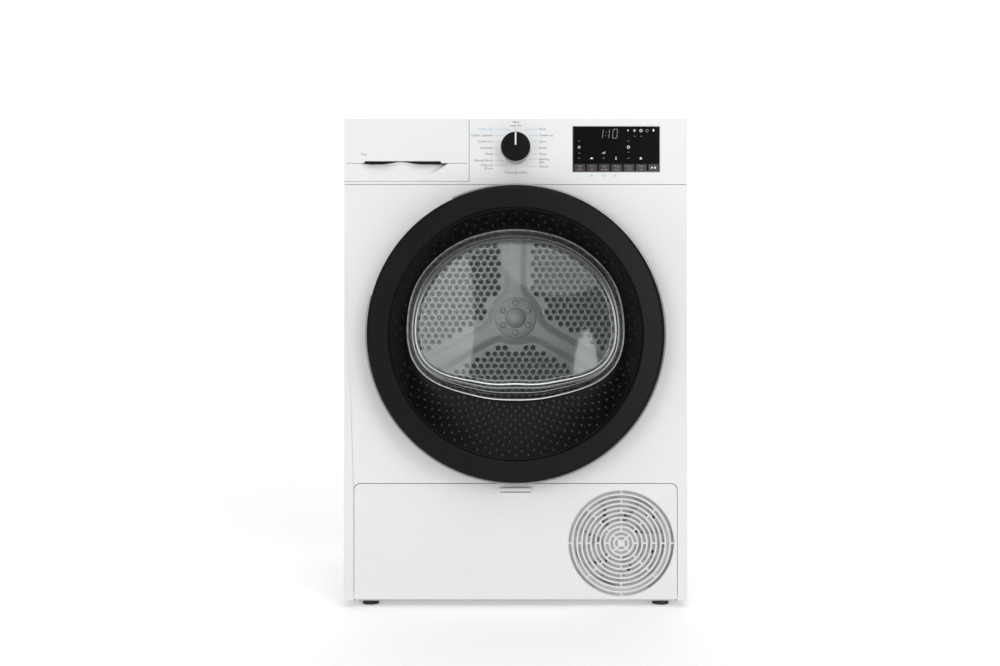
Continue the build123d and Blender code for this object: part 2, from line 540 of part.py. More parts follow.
put("evaporator", finpack(-205, -110))
put("condenser", finpack(-80, 60))
cov = rrxz(-279, -21, 18.5, 213.5, 8, -230.5, -225.2) - rrxz(-274, -26, 23, 209, 6, -236, -228)
cov = cov + bx(-160, -140, -234, -228, 40, 190)
cov = cov + cy(13, -231, -228, -255, 116) + cy(13, -231, -228, -45, 116)
cov = cov - cy(4 + RUN, -240, -220, -255, 116) - cy(4 + RUN, -240, -220, -45, 116)
put("heat_exchanger_cover", cov)
for nm, lx in (("cover_lock_left", -255), ("cover_lock_right", -45)):
    lk = cy(4.0, -236, -226, lx, 116) + cy(11, -236, -231.3, lx, 116) + bx(lx - 5, lx + 5, -240, -234, 116 - 24, 116 + 24)
    put(nm, lk)
CX, CYY = 84.0, 140.0
cp = cz(60, 46, 172, CX, CYY)
cp = fillet(cp.edges().group_by(Axis.Z)[-1], 26)
cp = cp + bx(CX - 62, CX + 62, CYY - 62, CYY + 62, 40, 46)
cp = cp + cz(8, 165, 184, CX, CYY) + bx(CX + 52, CX + 72, CYY - 18, CYY + 18, 90, 140)
put("compressor", group(cp, *[cz(11, 17, 40, CX + 50 * a, CYY + 50 * b) for a in (-1, 1) for b in (-1, 1)]))
p1 = tube([(CX, CYY, 184), (CX, CYY, 198), (CX, -140, 198), (-20, -140, 198)], 4)
p2 = tube([(CX + 30, CYY - 45, 165), (CX + 30, CYY - 45, 190), (CX + 30, -10, 190), (-20, -10, 190)], 4)
p1 = p1 - bx(-30, -20, -300, 300, 0, 300)
p2 = p2 - bx(-30, -20, -300, 300, 0, 300)
p3 = tube([(-20, -20, 60), (20, -20, 60), (20, -100, 60), (-20, -100, 60)], 3) - bx(-30, -20, -300, 300, 0, 300)
p3 = p3 + rod((20, -45, 60), (20, -75, 60), 9)
p2 = p2 - cp
p1 = p1 - cp
put("refrigerant_pipes", group(p1, p2, p3))
pump = cz(27, 17, 62, 24, -190) + cz(16, 62, 84, 24, -190)
hose = tube([(24, -190, 80), (24, -190, 150), (24, -240, 150), (24, -240, 212), (-284, -240, 212), (-284, -240, 728)], 4.5)
put("condensate_pump", pump + hose)

# ----------------------------------------------------------------------- rear bits
rs = []
for x in (-288, 288):
    for z in (40, 200, 400, 620, 826):
        rs.append(cy(3.6, 301.5, 303.6, x, z))
for x in (-140, 0, 140):
    rs.append(cy(3.6, 301.5, 303.6, x, 828))
put("rear_screws", group(*rs))

for name, s in NODES.items():
    s.label = name
    export_step(s, os.path.join("parts", name + ".step"))
print(len(NODES), "nodes written")
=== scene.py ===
import bpy
import json
import math
import numpy as np
from mathutils import Vector, Matrix
from mathutils.kdtree import KDTree


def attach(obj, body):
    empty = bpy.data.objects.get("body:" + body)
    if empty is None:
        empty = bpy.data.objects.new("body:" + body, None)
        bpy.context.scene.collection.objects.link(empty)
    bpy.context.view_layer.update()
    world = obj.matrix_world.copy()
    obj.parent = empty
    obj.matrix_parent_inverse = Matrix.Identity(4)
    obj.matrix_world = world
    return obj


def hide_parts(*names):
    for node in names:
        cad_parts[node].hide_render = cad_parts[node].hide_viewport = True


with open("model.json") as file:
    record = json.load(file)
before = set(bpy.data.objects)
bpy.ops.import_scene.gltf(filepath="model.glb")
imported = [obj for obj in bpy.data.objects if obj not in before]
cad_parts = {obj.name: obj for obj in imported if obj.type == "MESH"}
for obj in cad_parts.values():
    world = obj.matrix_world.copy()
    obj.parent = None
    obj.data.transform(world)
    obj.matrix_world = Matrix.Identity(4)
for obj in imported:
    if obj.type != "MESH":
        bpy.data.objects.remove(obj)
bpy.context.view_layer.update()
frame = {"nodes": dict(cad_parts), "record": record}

MM = 0.001
N = frame["nodes"]
scene = bpy.context.scene
S = 1.7385                      # millimetres to one unit of the front layout grid
YF = -262.0                     # front panel plane


def X(u):
    return (u - 515.7) * S


def Z(v):
    return 475.4 + (333.5 - v) * S


# ------------------------------------------------------------------ materials
def socket(b, name, value):
    if name in b.inputs:
        b.inputs[name].default_value = value


def material(name, base, rough=0.4, metal=0.0, spec=0.5, coat=0.0, coat_rough=0.1, var=0.03, scale=30.0,
             bump=0.0, bump_scale=900.0, rvar=0.05, aniso=0.0, stretch=None, emission=None, emit=0.0,
             grime=None, alpha=None, subsurface=0.0):
    m = bpy.data.materials.new(name)
    m.use_nodes = True
    nt = m.node_tree
    b = nt.nodes["Principled BSDF"]
    tc = nt.nodes.new("ShaderNodeTexCoord")
    mp = nt.nodes.new("ShaderNodeMapping")
    if stretch:
        mp.inputs["Scale"].default_value = stretch
    nt.links.new(tc.outputs["Object"], mp.inputs["Vector"])
    nz = nt.nodes.new("ShaderNodeTexNoise")
    nz.inputs["Scale"].default_value = scale
    nz.inputs["Detail"].default_value = 4
    nt.links.new(mp.outputs["Vector"], nz.inputs["Vector"])
    cr = nt.nodes.new("ShaderNodeValToRGB")
    c0 = [max(0, c * (1 - var)) for c in base]
    c1 = [min(1, c * (1 + var)) for c in base]
    cr.color_ramp.elements[0].position = 0.3
    cr.color_ramp.elements[0].color = (*c0, 1)
    cr.color_ramp.elements[1].position = 0.7
    cr.color_ramp.elements[1].color = (*c1, 1)
    nt.links.new(nz.outputs["Fac"], cr.inputs["Fac"])
    nt.links.new(cr.outputs["Color"], b.inputs["Base Color"])
    n2 = nt.nodes.new("ShaderNodeTexNoise")
    n2.inputs["Scale"].default_value = scale * 2.3
    n2.inputs["Detail"].default_value = 3
    nt.links.new(mp.outputs["Vector"], n2.inputs["Vector"])
    mr = nt.nodes.new("ShaderNodeMapRange")
    mr.inputs["To Min"].default_value = max(0.02, rough - rvar)
    mr.inputs["To Max"].default_value = min(1.0, rough + rvar)
    nt.links.new(n2.outputs["Fac"], mr.inputs["Value"])
    nt.links.new(mr.outputs["Result"], b.inputs["Roughness"])
    if bump > 0:
        n3 = nt.nodes.new("ShaderNodeTexNoise")
        n3.inputs["Scale"].default_value = bump_scale
        n3.inputs["Detail"].default_value = 2
        nt.links.new(mp.outputs["Vector"], n3.inputs["Vector"])
        bp = nt.nodes.new("ShaderNodeBump")
        bp.inputs["Strength"].default_value = bump
        bp.inputs["Distance"].default_value = 0.0004
        nt.links.new(n3.outputs["Fac"], bp.inputs["Height"])
        nt.links.new(bp.outputs["Normal"], b.inputs["Normal"])
    socket(b, "Metallic", metal)
    socket(b, "Specular IOR Level", spec)
    socket(b, "Coat Weight", coat)
    socket(b, "Coat Roughness", coat_rough)
    socket(b, "Anisotropic", aniso)
    if emission:
        socket(b, "Emission Color", (*emission, 1))
        socket(b, "Emission Strength", emit)
    return m


def glass_material(name, tint=(0.90, 0.92, 0.92), rough=0.02, ior=1.45):
    """clear moulded glass that lets light straight through, with true edge gloss"""
    m = bpy.data.materials.new(name)
    m.use_nodes = True
    nt = m.node_tree
    for n in list(nt.nodes):
        nt.nodes.remove(n)
    out = nt.nodes.new("ShaderNodeOutputMaterial")
    tr = nt.nodes.new("ShaderNodeBsdfTransparent")
    gl = nt.nodes.new("ShaderNodeBsdfGlossy")
    mix = nt.nodes.new("ShaderNodeMixShader")
    fr = nt.nodes.new("ShaderNodeFresnel")
    nz = nt.nodes.new("ShaderNodeTexNoise")
    tc = nt.nodes.new("ShaderNodeTexCoord")
    mr = nt.nodes.new("ShaderNodeMapRange")
    cr = nt.nodes.new("ShaderNodeValToRGB")
    nz.inputs["Scale"].default_value = 14
    nt.links.new(tc.outputs["Object"], nz.inputs["Vector"])
    mr.inputs["To Min"].default_value = rough
    mr.inputs["To Max"].default_value = rough + 0.02
    nt.links.new(nz.outputs["Fac"], mr.inputs["Value"])
    nt.links.new(mr.outputs["Result"], gl.inputs["Roughness"])
    cr.color_ramp.elements[0].color = (*[t * 0.985 for t in tint], 1)
    cr.color_ramp.elements[1].color = (*tint, 1)
    nt.links.new(nz.outputs["Fac"], cr.inputs["Fac"])
    lw = nt.nodes.new("ShaderNodeLayerWeight")
    lw.inputs["Blend"].default_value = 0.5
    wr = nt.nodes.new("ShaderNodeValToRGB")
    wr.color_ramp.elements[0].position = 0.30
    wr.color_ramp.elements[0].color = (1, 1, 1, 1)
    wr.color_ramp.elements[1].position = 0.80
    wr.color_ramp.elements[1].color = (0.40, 0.40, 0.40, 1)
    nt.links.new(lw.outputs["Facing"], wr.inputs["Fac"])
    mm_ = nt.nodes.new("ShaderNodeMix")
    mm_.data_type = "RGBA"
    mm_.blend_type = "MULTIPLY"
    mm_.inputs[0].default_value = 1.0
    nt.links.new(cr.outputs["Color"], mm_.inputs[6])
    nt.links.new(wr.outputs["Color"], mm_.inputs[7])
    nt.links.new(mm_.outputs[2], tr.inputs["Color"])
    fr.inputs["IOR"].default_value = ior
    geo = nt.nodes.new("ShaderNodeNewGeometry")
    inv = nt.nodes.new("ShaderNodeMath")
    inv.operation = "SUBTRACT"
    inv.inputs[0].default_value = 1.0
    nt.links.new(geo.outputs["Backfacing"], inv.inputs[1])
    mul = nt.nodes.new("ShaderNodeMath")
    mul.operation = "MULTIPLY"
    nt.links.new(fr.outputs["Fac"], mul.inputs[0])
    nt.links.new(inv.outputs[0], mul.inputs[1])
    dbl = nt.nodes.new("ShaderNodeMath")
    dbl.operation = "MULTIPLY"
    dbl.use_clamp = True
    dbl.inputs[1].default_value = 1.7
    nt.links.new(mul.outputs[0], dbl.inputs[0])
    nt.links.new(dbl.outputs[0], mix.inputs["Fac"])
    nt.links.new(tr.outputs["BSDF"], mix.inputs[1])
    nt.links.new(gl.outputs["BSDF"], mix.inputs[2])
    nt.links.new(mix.outputs["Shader"], out.inputs["Surface"])
    return m


M = {}
M["white_paint"] = material("white_paint", (0.80, 0.81, 0.815), 0.30, coat=0.35, coat_rough=0.12, var=0.012, scale=6, bump=0.05, bump_scale=420)
M["white_plastic"] = material("white_plastic", (0.80, 0.81, 0.815), 0.36, var=0.012, scale=8, bump=0.06, bump_scale=1600)
M["black_satin"] = material("black_satin", (0.0030, 0.0030, 0.0032), 0.36, spec=0.15, var=0.10, scale=20, bump=0.08, bump_scale=2600, rvar=0.03)
M["black_textured"] = material("black_textured", (0.0028, 0.0028, 0.0030), 0.42, spec=0.12, var=0.12, scale=60, bump=0.18, bump_scale=1400)
M["black_grain"] = material("black_grain", (0.0032, 0.0032, 0.0034), 0.36, spec=0.42, var=0.12, scale=60)
M["silver_trim"] = material("silver_trim", (0.80, 0.80, 0.81), 0.24, metal=1.0, var=0.03, scale=60, bump=0.05, bump_scale=1800)
M["skirt_grey"] = material("skirt_grey", (0.42, 0.42, 0.43), 0.30, metal=1.0, var=0.03, scale=60)
M["rim_grey"] = material("rim_grey", (0.30, 0.30, 0.31), 0.36, metal=1.0, var=0.03, scale=60)
M["display_black"] = material("display_black", (0.0030, 0.0030, 0.0033), 0.14, spec=0.12, var=0.08, scale=12, rvar=0.02)
M["pcb_green"] = material("pcb_green", (0.03, 0.14, 0.06), 0.45, var=0.2, scale=80, bump=0.2)
M["grey_plastic"] = material("grey_plastic", (0.25, 0.255, 0.26), 0.5, var=0.05, scale=40, bump=0.15)
M["light_grey_plastic"] = material("light_grey_plastic", (0.55, 0.56, 0.57), 0.45, var=0.04, scale=40, bump=0.12)
M["grille_grey"] = material("grille_grey", (0.74, 0.745, 0.75), 0.4, var=0.015, scale=30, bump=0.08)
M["tank_plastic"] = material("tank_plastic", (0.72, 0.75, 0.77), 0.42, var=0.03, scale=12, bump=0.08)
M["fan_pale"] = material("fan_pale", (0.62, 0.625, 0.63), 0.5, var=0.04, scale=30, bump=0.1)
M["fan_mid"] = material("fan_mid", (0.42, 0.425, 0.43), 0.5, var=0.04, scale=30, bump=0.1)
M["lifter_grey"] = material("lifter_grey", (0.20, 0.20, 0.205), 0.45, var=0.05, scale=30, bump=0.1)
M["galvanised"] = material("galvanised", (0.46, 0.47, 0.48), 0.40, metal=0.85, var=0.07, scale=38, bump=0.1, bump_scale=500, rvar=0.1)
M["stainless"] = material("stainless", (0.66, 0.66, 0.655), 0.40, metal=0.55, var=0.05, scale=30, bump=0.08, bump_scale=700, stretch=(1, 1, 6), rvar=0.06)
M["steel"] = material("steel", (0.50, 0.50, 0.51), 0.3, metal=1.0, var=0.08, scale=90, bump=0.1, stretch=(1, 1, 10))
M["aluminium_fins"] = material("aluminium_fins", (0.70, 0.71, 0.72), 0.38, metal=0.9, var=0.08, scale=120, bump=0.15, bump_scale=1500)
M["copper"] = material("copper", (0.66, 0.30, 0.17), 0.32, metal=1.0, var=0.14, scale=70, bump=0.08, bump_scale=300)
M["rubber"] = material("rubber", (0.018, 0.018, 0.019), 0.7, var=0.15, scale=60, bump=0.3, bump_scale=900)
M["seal_grey"] = material("seal_grey", (0.10, 0.10, 0.105), 0.62, var=0.08, scale=50, bump=0.2)
M["felt"] = material("felt", (0.40, 0.40, 0.385), 0.95, var=0.2, scale=300, bump=0.8, bump_scale=1400)
M["mesh"] = material("mesh", (0.06, 0.065, 0.075), 0.7, var=0.5, scale=900, bump=0.8, bump_scale=2500)
M["compressor_black"] = material("compressor_black", (0.015, 0.015, 0.016), 0.38, coat=0.3, var=0.12, scale=24, bump=0.12, bump_scale=260)
M["motor_metal"] = material("motor_metal", (0.17, 0.175, 0.18), 0.45, metal=0.5, var=0.1, scale=40, bump=0.12)
M["lamp"] = material("lamp", (0.80, 0.79, 0.74), 0.3, var=0.03, scale=50, bump=0.1)
M["base_grey"] = material("base_grey", (0.70, 0.705, 0.71), 0.5, var=0.04, scale=25, bump=0.15)
M["foot_black"] = material("foot_black", (0.02, 0.02, 0.021), 0.55, var=0.1, scale=70, bump=0.25)
M["glass"] = glass_material("bowl_glass")
M["ink_grey"] = material("ink_grey", (0.07, 0.073, 0.08), 0.5, var=0.05, scale=200)
M["ink_light"] = material("ink_light", (0.30, 0.31, 0.32), 0.5, var=0.04, scale=200)
M["ink_blue"] = material("ink_blue", (0.10, 0.42, 0.72), 0.5, var=0.05, scale=200)
# near-black painted shade for the faces of the finger pocket behind the drawer lip
M["painted_shade_slot"] = material("painted_shade_slot", (0.030, 0.031, 0.032), 0.6, var=0.1, scale=60)
M["digit_grey"] = material("digit_grey", (0.22, 0.23, 0.24), 0.4, var=0.03, scale=200, emission=(0.80, 0.84, 0.87), emit=0.06)
M["led_white"] = material("led_white", (0.62, 0.65, 0.67), 0.4, var=0.02, scale=200, emission=(0.80, 0.84, 0.87), emit=0.25)
M["led_dim"] = material("led_dim", (0.22, 0.22, 0.22), 0.4, var=0.05, scale=200)
M["key_brown"] = material("key_brown", (0.050, 0.043, 0.040), 0.22, var=0.06, scale=80)
M["key_text"] = material("key_text", (0.36, 0.33, 0.30), 0.4, var=0.06, scale=200)
M["key_blue"] = material("key_blue", (0.12, 0.30, 0.46), 0.4, var=0.06, scale=200)
M["outline"] = material("outline", (0.50, 0.51, 0.52), 0.25, metal=0.6, var=0.03, scale=100)

REC = frame["record"]
SLOT = {}
for sp in REC["subparts"]:
    SLOT[sp["node"]] = sp["material_slot"]
for name, ob in N.items():
    m = M[SLOT[name]]
    if not ob.data.materials:
        ob.data.materials.append(m)
    for s in ob.material_slots:
        s.material = m
for name, mm in (("cooling_fan", "fan_mid"), ("fan_shroud", "fan_pale"), ("drum_lifters", "lifter_grey"), ("door_rim_band", "rim_grey")):
    for s in N[name].material_slots:
        s.material = M[mm]


def soften(node, width=0.6, seg=2, angle=35):
    ob = N[node]
    w = ob.modifiers.new("weld", "WELD")
    w.merge_threshold = 1e-5
    if width > 0:
        b = ob.modifiers.new("bevel", "BEVEL")
        b.width = width * MM
        b.segments = seg
        b.limit_method = "ANGLE"
        b.angle_limit = math.radians(angle)
        b.harden_normals = False
        b.use_clamp_overlap = True


# ---------------------------------------------------------------- mesh helpers
def make(name, verts, faces, mat, body, smooth=True, rep=(), slot=None, sharp=None, mats=None, mat_index=None):
    me = bpy.data.meshes.new(name)
    v = np.asarray(verts, float) * MM
    me.from_pydata(v.tolist(), [], [list(map(int, f)) for f in faces])
    me.update()
    ob = bpy.data.objects.new(name, me)
    scene.collection.objects.link(ob)
    for mm in (mats or [mat]):
        me.materials.append(mm)
    if mat_index is not None:
        me.polygons.foreach_set("material_index", np.asarray(mat_index, np.int32))
    if smooth:
        me.polygons.foreach_set("use_smooth", [True] * len(me.polygons))
        if sharp is not None:
            me.set_sharp_from_angle(angle=math.radians(sharp))
    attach(ob, body)
    if rep:
        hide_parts(*rep)
    return ob


def fillet2d(pts, rad, n=5, closed=True):
    """round the corners of a 2-D outline; rad is a number or one for each point"""
    P = [np.array(p, float) for p in pts]
    k = len(P)
    R = [rad] * k if not hasattr(rad, "__len__") else list(rad)
    out = []
    for i in range(k):
        if (not closed and i in (0, k - 1)) or R[i] <= 0:
            out.append(tuple(P[i]))
            continue
        a, b, c = P[i - 1], P[i], P[(i + 1) % k]
        u, v = a - b, c - b
        lu, lv = np.linalg.norm(u), np.linalg.norm(v)
        u, v = u / lu, v / lv
        ang = math.acos(max(-1, min(1, float(u @ v))))
        if ang > math.pi - 1e-3:
            out.append(tuple(b))
            continue
        d = min(R[i] / math.tan(ang / 2), lu * 0.48, lv * 0.48)
        r = d * math.tan(ang / 2)
        bis = (u + v) / np.linalg.norm(u + v)
        cc = b + bis * (r / math.sin(ang / 2))
        s, e = b + u * d, b + v * d
        a0 = math.atan2(*(s - cc)[::-1])
        a1 = math.atan2(*(e - cc)[::-1])
        da = (a1 - a0 + math.pi) % (2 * math.pi) - math.pi
        for j in range(n + 1):
            t = a0 + da * j / n
            out.append((cc[0] + r * math.cos(t), cc[1] + r * math.sin(t)))
    return out


def revolve(name, prof, mat, body, xc=0.0, zc=0.0, n=192, a0=0.0, a1=360.0, closed=True, angles=None, sharp=30, **k):
    """prof is a list of (radius, y); turned about the Y axis through (xc, zc)"""
    full = abs(a1 - a0 - 360) < 1e-6
    A = angles if angles is not None else [a0 + (a1 - a0) * i / n for i in range(n if full else n + 1)]
    V, F = [], []
    m = len(prof)
    for a in A:
        c, s = math.cos(math.radians(a)), math.sin(math.radians(a))
        for r, y in prof:
            V.append((xc + r * c, y, zc + r * s))
    L = len(A)
    for i in range(L if full else L - 1):
        j = (i + 1) % L
        for q in range(m if closed else m - 1):
            p = (q + 1) % m
            F.append((i * m + q, i * m + p, j * m + p, j * m + q))
    if not full and closed:
        F.append([q for q in range(m)][::-1])
        F.append([(L - 1) * m + q for q in range(m)])
    return make(name, V, F, mat, body, sharp=sharp, **k)


def disc_fix(V, F, centre, ringidx):
    V.append(centre)
    c = len(V) - 1
    for i in range(len(ringidx)):
        F.append((ringidx[i], ringidx[(i + 1) % len(ringidx)], c))


# ------------------------------------------------------------ outline of the bowl
RIM = [149.4, 150.8, 154.7, 161.3, 171.1, 184.5, 194.2, 197.2, 193.0, 189.4,
       185.8, 181.3, 174.9, 168.8, 162.9, 157.4, 153.6, 150.8, 150.4]
DEEP = [127.3, 129.4, 134.9, 142.2, 154.0, 169.2, 184.1, 189.6, 185.6, 181.4,
        175.9, 168.6, 162.2, 156.8, 149.5, 145.3, 141.3, 137.6, 137.6]


def table(tb):
    full = [tb[k if k <= 18 else 36 - k] for k in range(36)]
    return np.fft.rfft(full) / 36.0


def radius(co, ang_deg):
    """smooth periodic radius at the angles, degrees, 0 along +X"""
    t = np.radians((np.asarray(ang_deg, float) + 90.0))
    r = np.full_like(t, co[0].real)
    for h in range(1, 11):
        r = r + 2 * (co[h].real * np.cos(h * t) - co[h].imag * np.sin(h * t))
    return r


C_RIM, C_DEEP = table(RIM), table(DEEP)
ZR, ZD = 507.9, 509.1
ND = 180
ANG = np.arange(ND) * 360.0 / ND


def loop_pts(co, zc, grow, y, ang=ANG):
    r = radius(co, ang) + grow
    a = np.radians(ang)
    return np.stack([r * np.cos(a), np.full_like(r, y), zc + r * np.sin(a)], 1)


def stitch(loops, closed_u=True):
    V = np.concatenate(loops)
    n = len(loops[0])
    F = []
    for k in range(len(loops) - 1):
        for i in range(n if closed_u else n - 1):
            j = (i + 1) % n
            F.append((k * n + i, k * n + j, (k + 1) * n + j, (k + 1) * n + i))
    return V, F


# ------------------------------------------------------------------ door funnel
def circ(r, zc, y, ang=ANG):
    a = np.radians(ang)
    return np.stack([r * np.cos(a), np.full_like(a, y), zc + r * np.sin(a)], 1)


def funnel_mix(t):
    """(share of the way in x,z, share of the way in depth)"""
    return t, 0.18 * t + 0.82 * (1 - (1 - t) ** 1.7)


Y_A, Y_B = -304.2, -247.0
base_c = circ(212.6, 475.0, Y_A)
rim_c = loop_pts(C_RIM, ZR, 0.0, Y_B)
loops = [circ(216.2, 475.0, -270.8), circ(216.2, 475.0, -303.2), circ(215.6, 475.0, -304.2), circ(214.6, 475.0, -304.9),
         circ(213.6, 475.0, -304.9)]
TS = np.linspace(0, 1, 36)


def funnel_point(c0, c1, t):
    s, d = funnel_mix(t)
    p = c0 * (1 - s) + c1 * s
    p[..., 1] = Y_A + (Y_B - Y_A) * d
    return p


for t in TS:
    loops.append(funnel_point(base_c.copy(), rim_c.copy(), t))
loops.append(loop_pts(C_RIM, ZR, 0.6, Y_B + 0.9))
loops.append(loop_pts(C_RIM, ZR, 3.0, Y_B + 0.9))
V, F = stitch(loops)
make("door_funnel_skin", V, [f[::-1] for f in F], M["black_textured"], "door", rep=("door_funnel",), slot="black_textured", sharp=30)

# raised grains on the funnel, in staggered rings about the door centre
dense = []
tt = np.linspace(0, 1, 60)
angd = np.arange(720) * 0.5
c0 = circ(212.6, 475.0, Y_A, angd)
c1 = loop_pts(C_RIM, ZR, 0.0, Y_B, angd)
for t in tt:
    dense.append(funnel_point(c0.copy(), c1.copy(), t))
dense = np.stack(dense)                     # t, angle, xyz
flat = dense.reshape(-1, 3)
kd = KDTree(len(flat))
for i, p in enumerate(flat):
    kd.insert((p[0], 0, p[2]), i)
kd.balance()
GV, GF = [], []
uu = [(0, 0)]
rings_b = [(1.0, 0.0), (0.9, 0.45), (0.62, 0.82), (0.3, 0.98)]
for row in range(0, 14):
    R = 206.6 - 7.15 * row
    off = 3.0 if row % 2 else 0.0
    for k in range(60):
        a = math.radians(6.0 * k + off)
        x, z = R * math.cos(a), 475.0 + R * math.sin(a)
        # keep clear of the glass rim
        dx, dz = x, z - ZR
        rr = math.hypot(dx, dz)
        lim = float(radius(C_RIM, [math.degrees(math.atan2(dz, dx))])[0])
        if rr < lim + 5.0:
            continue
        co, idx, dist = kd.find((x, 0, z))
        p = flat[idx]
        ti, ai = divmod(idx, len(angd))
        t2 = min(ti + 1, len(tt) - 1)
        t1 = max(ti - 1, 0)
        du = dense[t2, ai] - dense[t1, ai]
        dv = dense[ti, (ai + 1) % len(angd)] - dense[ti, ai - 1]
        nrm = np.cross(du, dv)
        nrm = nrm / np.linalg.norm(nrm)
        if nrm[1] > 0:
            nrm = -nrm
        rad = np.array([math.cos(a), 0, math.sin(a)])
        e1 = rad - nrm * (rad @ nrm)
        e1 = e1 / np.linalg.norm(e1)
        e2 = np.cross(nrm, e1)
        base_i = len(GV)
        nn = 12
        for f, h in rings_b:
            for q in range(nn):
                b = 2 * math.pi * q / nn
                w = p + e1 * (4.3 * f * math.cos(b)) + e2 * (2.7 * f * math.sin(b)) + nrm * (h * 1.75 - 0.25)
                GV.append(w)
        GV.append(p + nrm * 1.52)
        top = len(GV) - 1
        for rI in range(len(rings_b) - 1):
            for q in range(nn):
                q2 = (q + 1) % nn
                GF.append((base_i + rI * nn + q, base_i + rI * nn + q2, base_i + (rI + 1) * nn + q2, base_i + (rI + 1) * nn + q))
        lastr = base_i + (len(rings_b) - 1) * nn
        for q in range(nn):
            GF.append((lastr + q, lastr + (q + 1) % nn, top))
make("door_funnel_grains", np.array(GV), GF, M["black_grain"], "door", slot="black_textured")

# ------------------------------------------------------------------- glass bowl
wall = 4.0
outer, inner = [], []
outer.append(loop_pts(C_RIM, ZR, 8.6, -243.6))
outer.append(loop_pts(C_RIM, ZR, 1.0, -243.6))


def mixloop(s, grow, y):
    r = (radius(C_RIM, ANG) * (1 - s) + radius(C_DEEP, ANG) * s) + grow
    a = np.radians(ANG)
    zc = ZR * (1 - s) + ZD * s
    return np.stack([r * np.cos(a), np.full_like(r, y), zc + r * np.sin(a)], 1)


for s in np.linspace(0, 1, 12):
    outer.append(mixloop(s ** 1.15, -0.4, -243.0 + 70.0 * s))
for q in np.linspace(0.15, 1, 7):
    th = q * math.pi / 2
    outer.append(mixloop(1.0, -0.4 - 8.0 * (1 - math.cos(th)), -173.0 + 8.0 * math.sin(th)))


def shrink(loop, f, y):
    c = np.array([0, 0, ZD])
    w = loop.copy()
    w[:, 0] = w[:, 0] * f
    w[:, 2] = ZD + (w[:, 2] - ZD) * f
    w[:, 1] = y
    return w


last = outer[-1]
for f in (0.985, 0.8, 0.55, 0.3, 0.1):
    outer.append(shrink(last, f, -165.0))
inner.append(loop_pts(C_RIM, ZR, 8.6, -246.8))
inner.append(loop_pts(C_RIM, ZR, -1.0, -246.8))
inner.append(loop_pts(C_RIM, ZR, -3.4, -245.6))
for s in np.linspace(0.04, 1, 49):
    bead = 1.5 * math.exp(-((s - 0.20) / 0.035) ** 2) + 1.3 * math.exp(-((s - 0.52) / 0.03) ** 2) + 1.1 * math.exp(-((s - 0.80) / 0.03) ** 2)
    inner.append(mixloop(s ** 1.15, -4.4 - bead, -243.0 + 67.0 * s))
for q in np.linspace(0.15, 1, 7):
    th = q * math.pi / 2
    inner.append(mixloop(1.0, -4.4 - 7.0 * (1 - math.cos(th)), -176.0 + 7.0 * math.sin(th)))
last = inner[-1]
for f in (0.985, 0.8, 0.55, 0.3, 0.1):
    inner.append(shrink(last, f, -169.0))
Vo, Fo = stitch(outer)
Vi, Fi = stitch(inner)
off = len(Vo)
Vb = list(map(tuple, np.concatenate([Vo, Vi])))
Fb = [f for f in Fo] + [tuple(off + i for i in f[::-1]) for f in Fi]
for i in range(ND):
    j = (i + 1) % ND
    Fb.append((i, off + i, off + j, j))
lo_ring = [len(Vo) - ND + i for i in range(ND)]
li_ring = [off + len(Vi) - ND + i for i in range(ND)]
Vb.append((0, -165.0, ZD))
c = len(Vb) - 1
for i in range(ND):
    Fb.append((lo_ring[i], lo_ring[(i + 1) % ND], c))
Vb.append((0, -169.0, ZD))
c = len(Vb) - 1
for i in range(ND):
    Fb.append((li_ring[(i + 1) % ND], li_ring[i], c))
make("door_glass", np.array(Vb), Fb, M["glass"], "door", rep=("door_glass_bowl",), slot="glass", sharp=60)

# painted highlights: thin beads along contours of the bowl with a glowing white finish, made brightest low down and at
# the sides by a height ramp
def painted_highlight_material(name, stops, level, glow=0.35):
    m = bpy.data.materials.new(name)
    m.use_nodes = True
    nt = m.node_tree
    for n in list(nt.nodes):
        nt.nodes.remove(n)
    out = nt.nodes.new("ShaderNodeOutputMaterial")
    mix = nt.nodes.new("ShaderNodeMixShader")
    tr = nt.nodes.new("ShaderNodeBsdfTransparent")
    pb = nt.nodes.new("ShaderNodeBsdfPrincipled")
    tc = nt.nodes.new("ShaderNodeTexCoord")
    sp = nt.nodes.new("ShaderNodeSeparateXYZ")
    mr = nt.nodes.new("ShaderNodeMapRange")
    cr = nt.nodes.new("ShaderNodeValToRGB")
    nz = nt.nodes.new("ShaderNodeTexNoise")
    nz.inputs["Scale"].default_value = 9.0
    nt.links.new(tc.outputs["Object"], sp.inputs[0])
    nt.links.new(tc.outputs["Object"], nz.inputs["Vector"])
    # the painted highlight strength follows object height through this ramp, not any lamp
    mr.inputs["From Min"].default_value = 0.355
    mr.inputs["From Max"].default_value = 0.665
    nt.links.new(sp.outputs["Z"], mr.inputs["Value"])
    nt.links.new(mr.outputs["Result"], cr.inputs["Fac"])
    e = cr.color_ramp.elements
    while len(e) < len(stops):
        e.new(0.5)
    for k, (pos, v) in enumerate(stops):
        e[k].position = pos
        e[k].color = (v, v, v, 1)
    mul = nt.nodes.new("ShaderNodeMath")
    mul.operation = "MULTIPLY"
    m2 = nt.nodes.new("ShaderNodeMapRange")
    m2.inputs["To Min"].default_value = 0.75 * level
    m2.inputs["To Max"].default_value = 1.15 * level
    nt.links.new(nz.outputs["Fac"], m2.inputs["Value"])
    nt.links.new(cr.outputs["Color"], mul.inputs[0])
    nt.links.new(m2.outputs["Result"], mul.inputs[1])
    nt.links.new(mul.outputs[0], mix.inputs["Fac"])
    pb.inputs["Base Color"].default_value = (0.85, 0.86, 0.86, 1)
    pb.inputs["Roughness"].default_value = 0.25
    socket(pb, "Emission Color", (1, 1, 1, 1))
    socket(pb, "Emission Strength", glow)
    nt.links.new(tr.outputs["BSDF"], mix.inputs[1])
    nt.links.new(pb.outputs["BSDF"], mix.inputs[2])
    nt.links.new(mix.outputs["Shader"], out.inputs["Surface"])
    return m


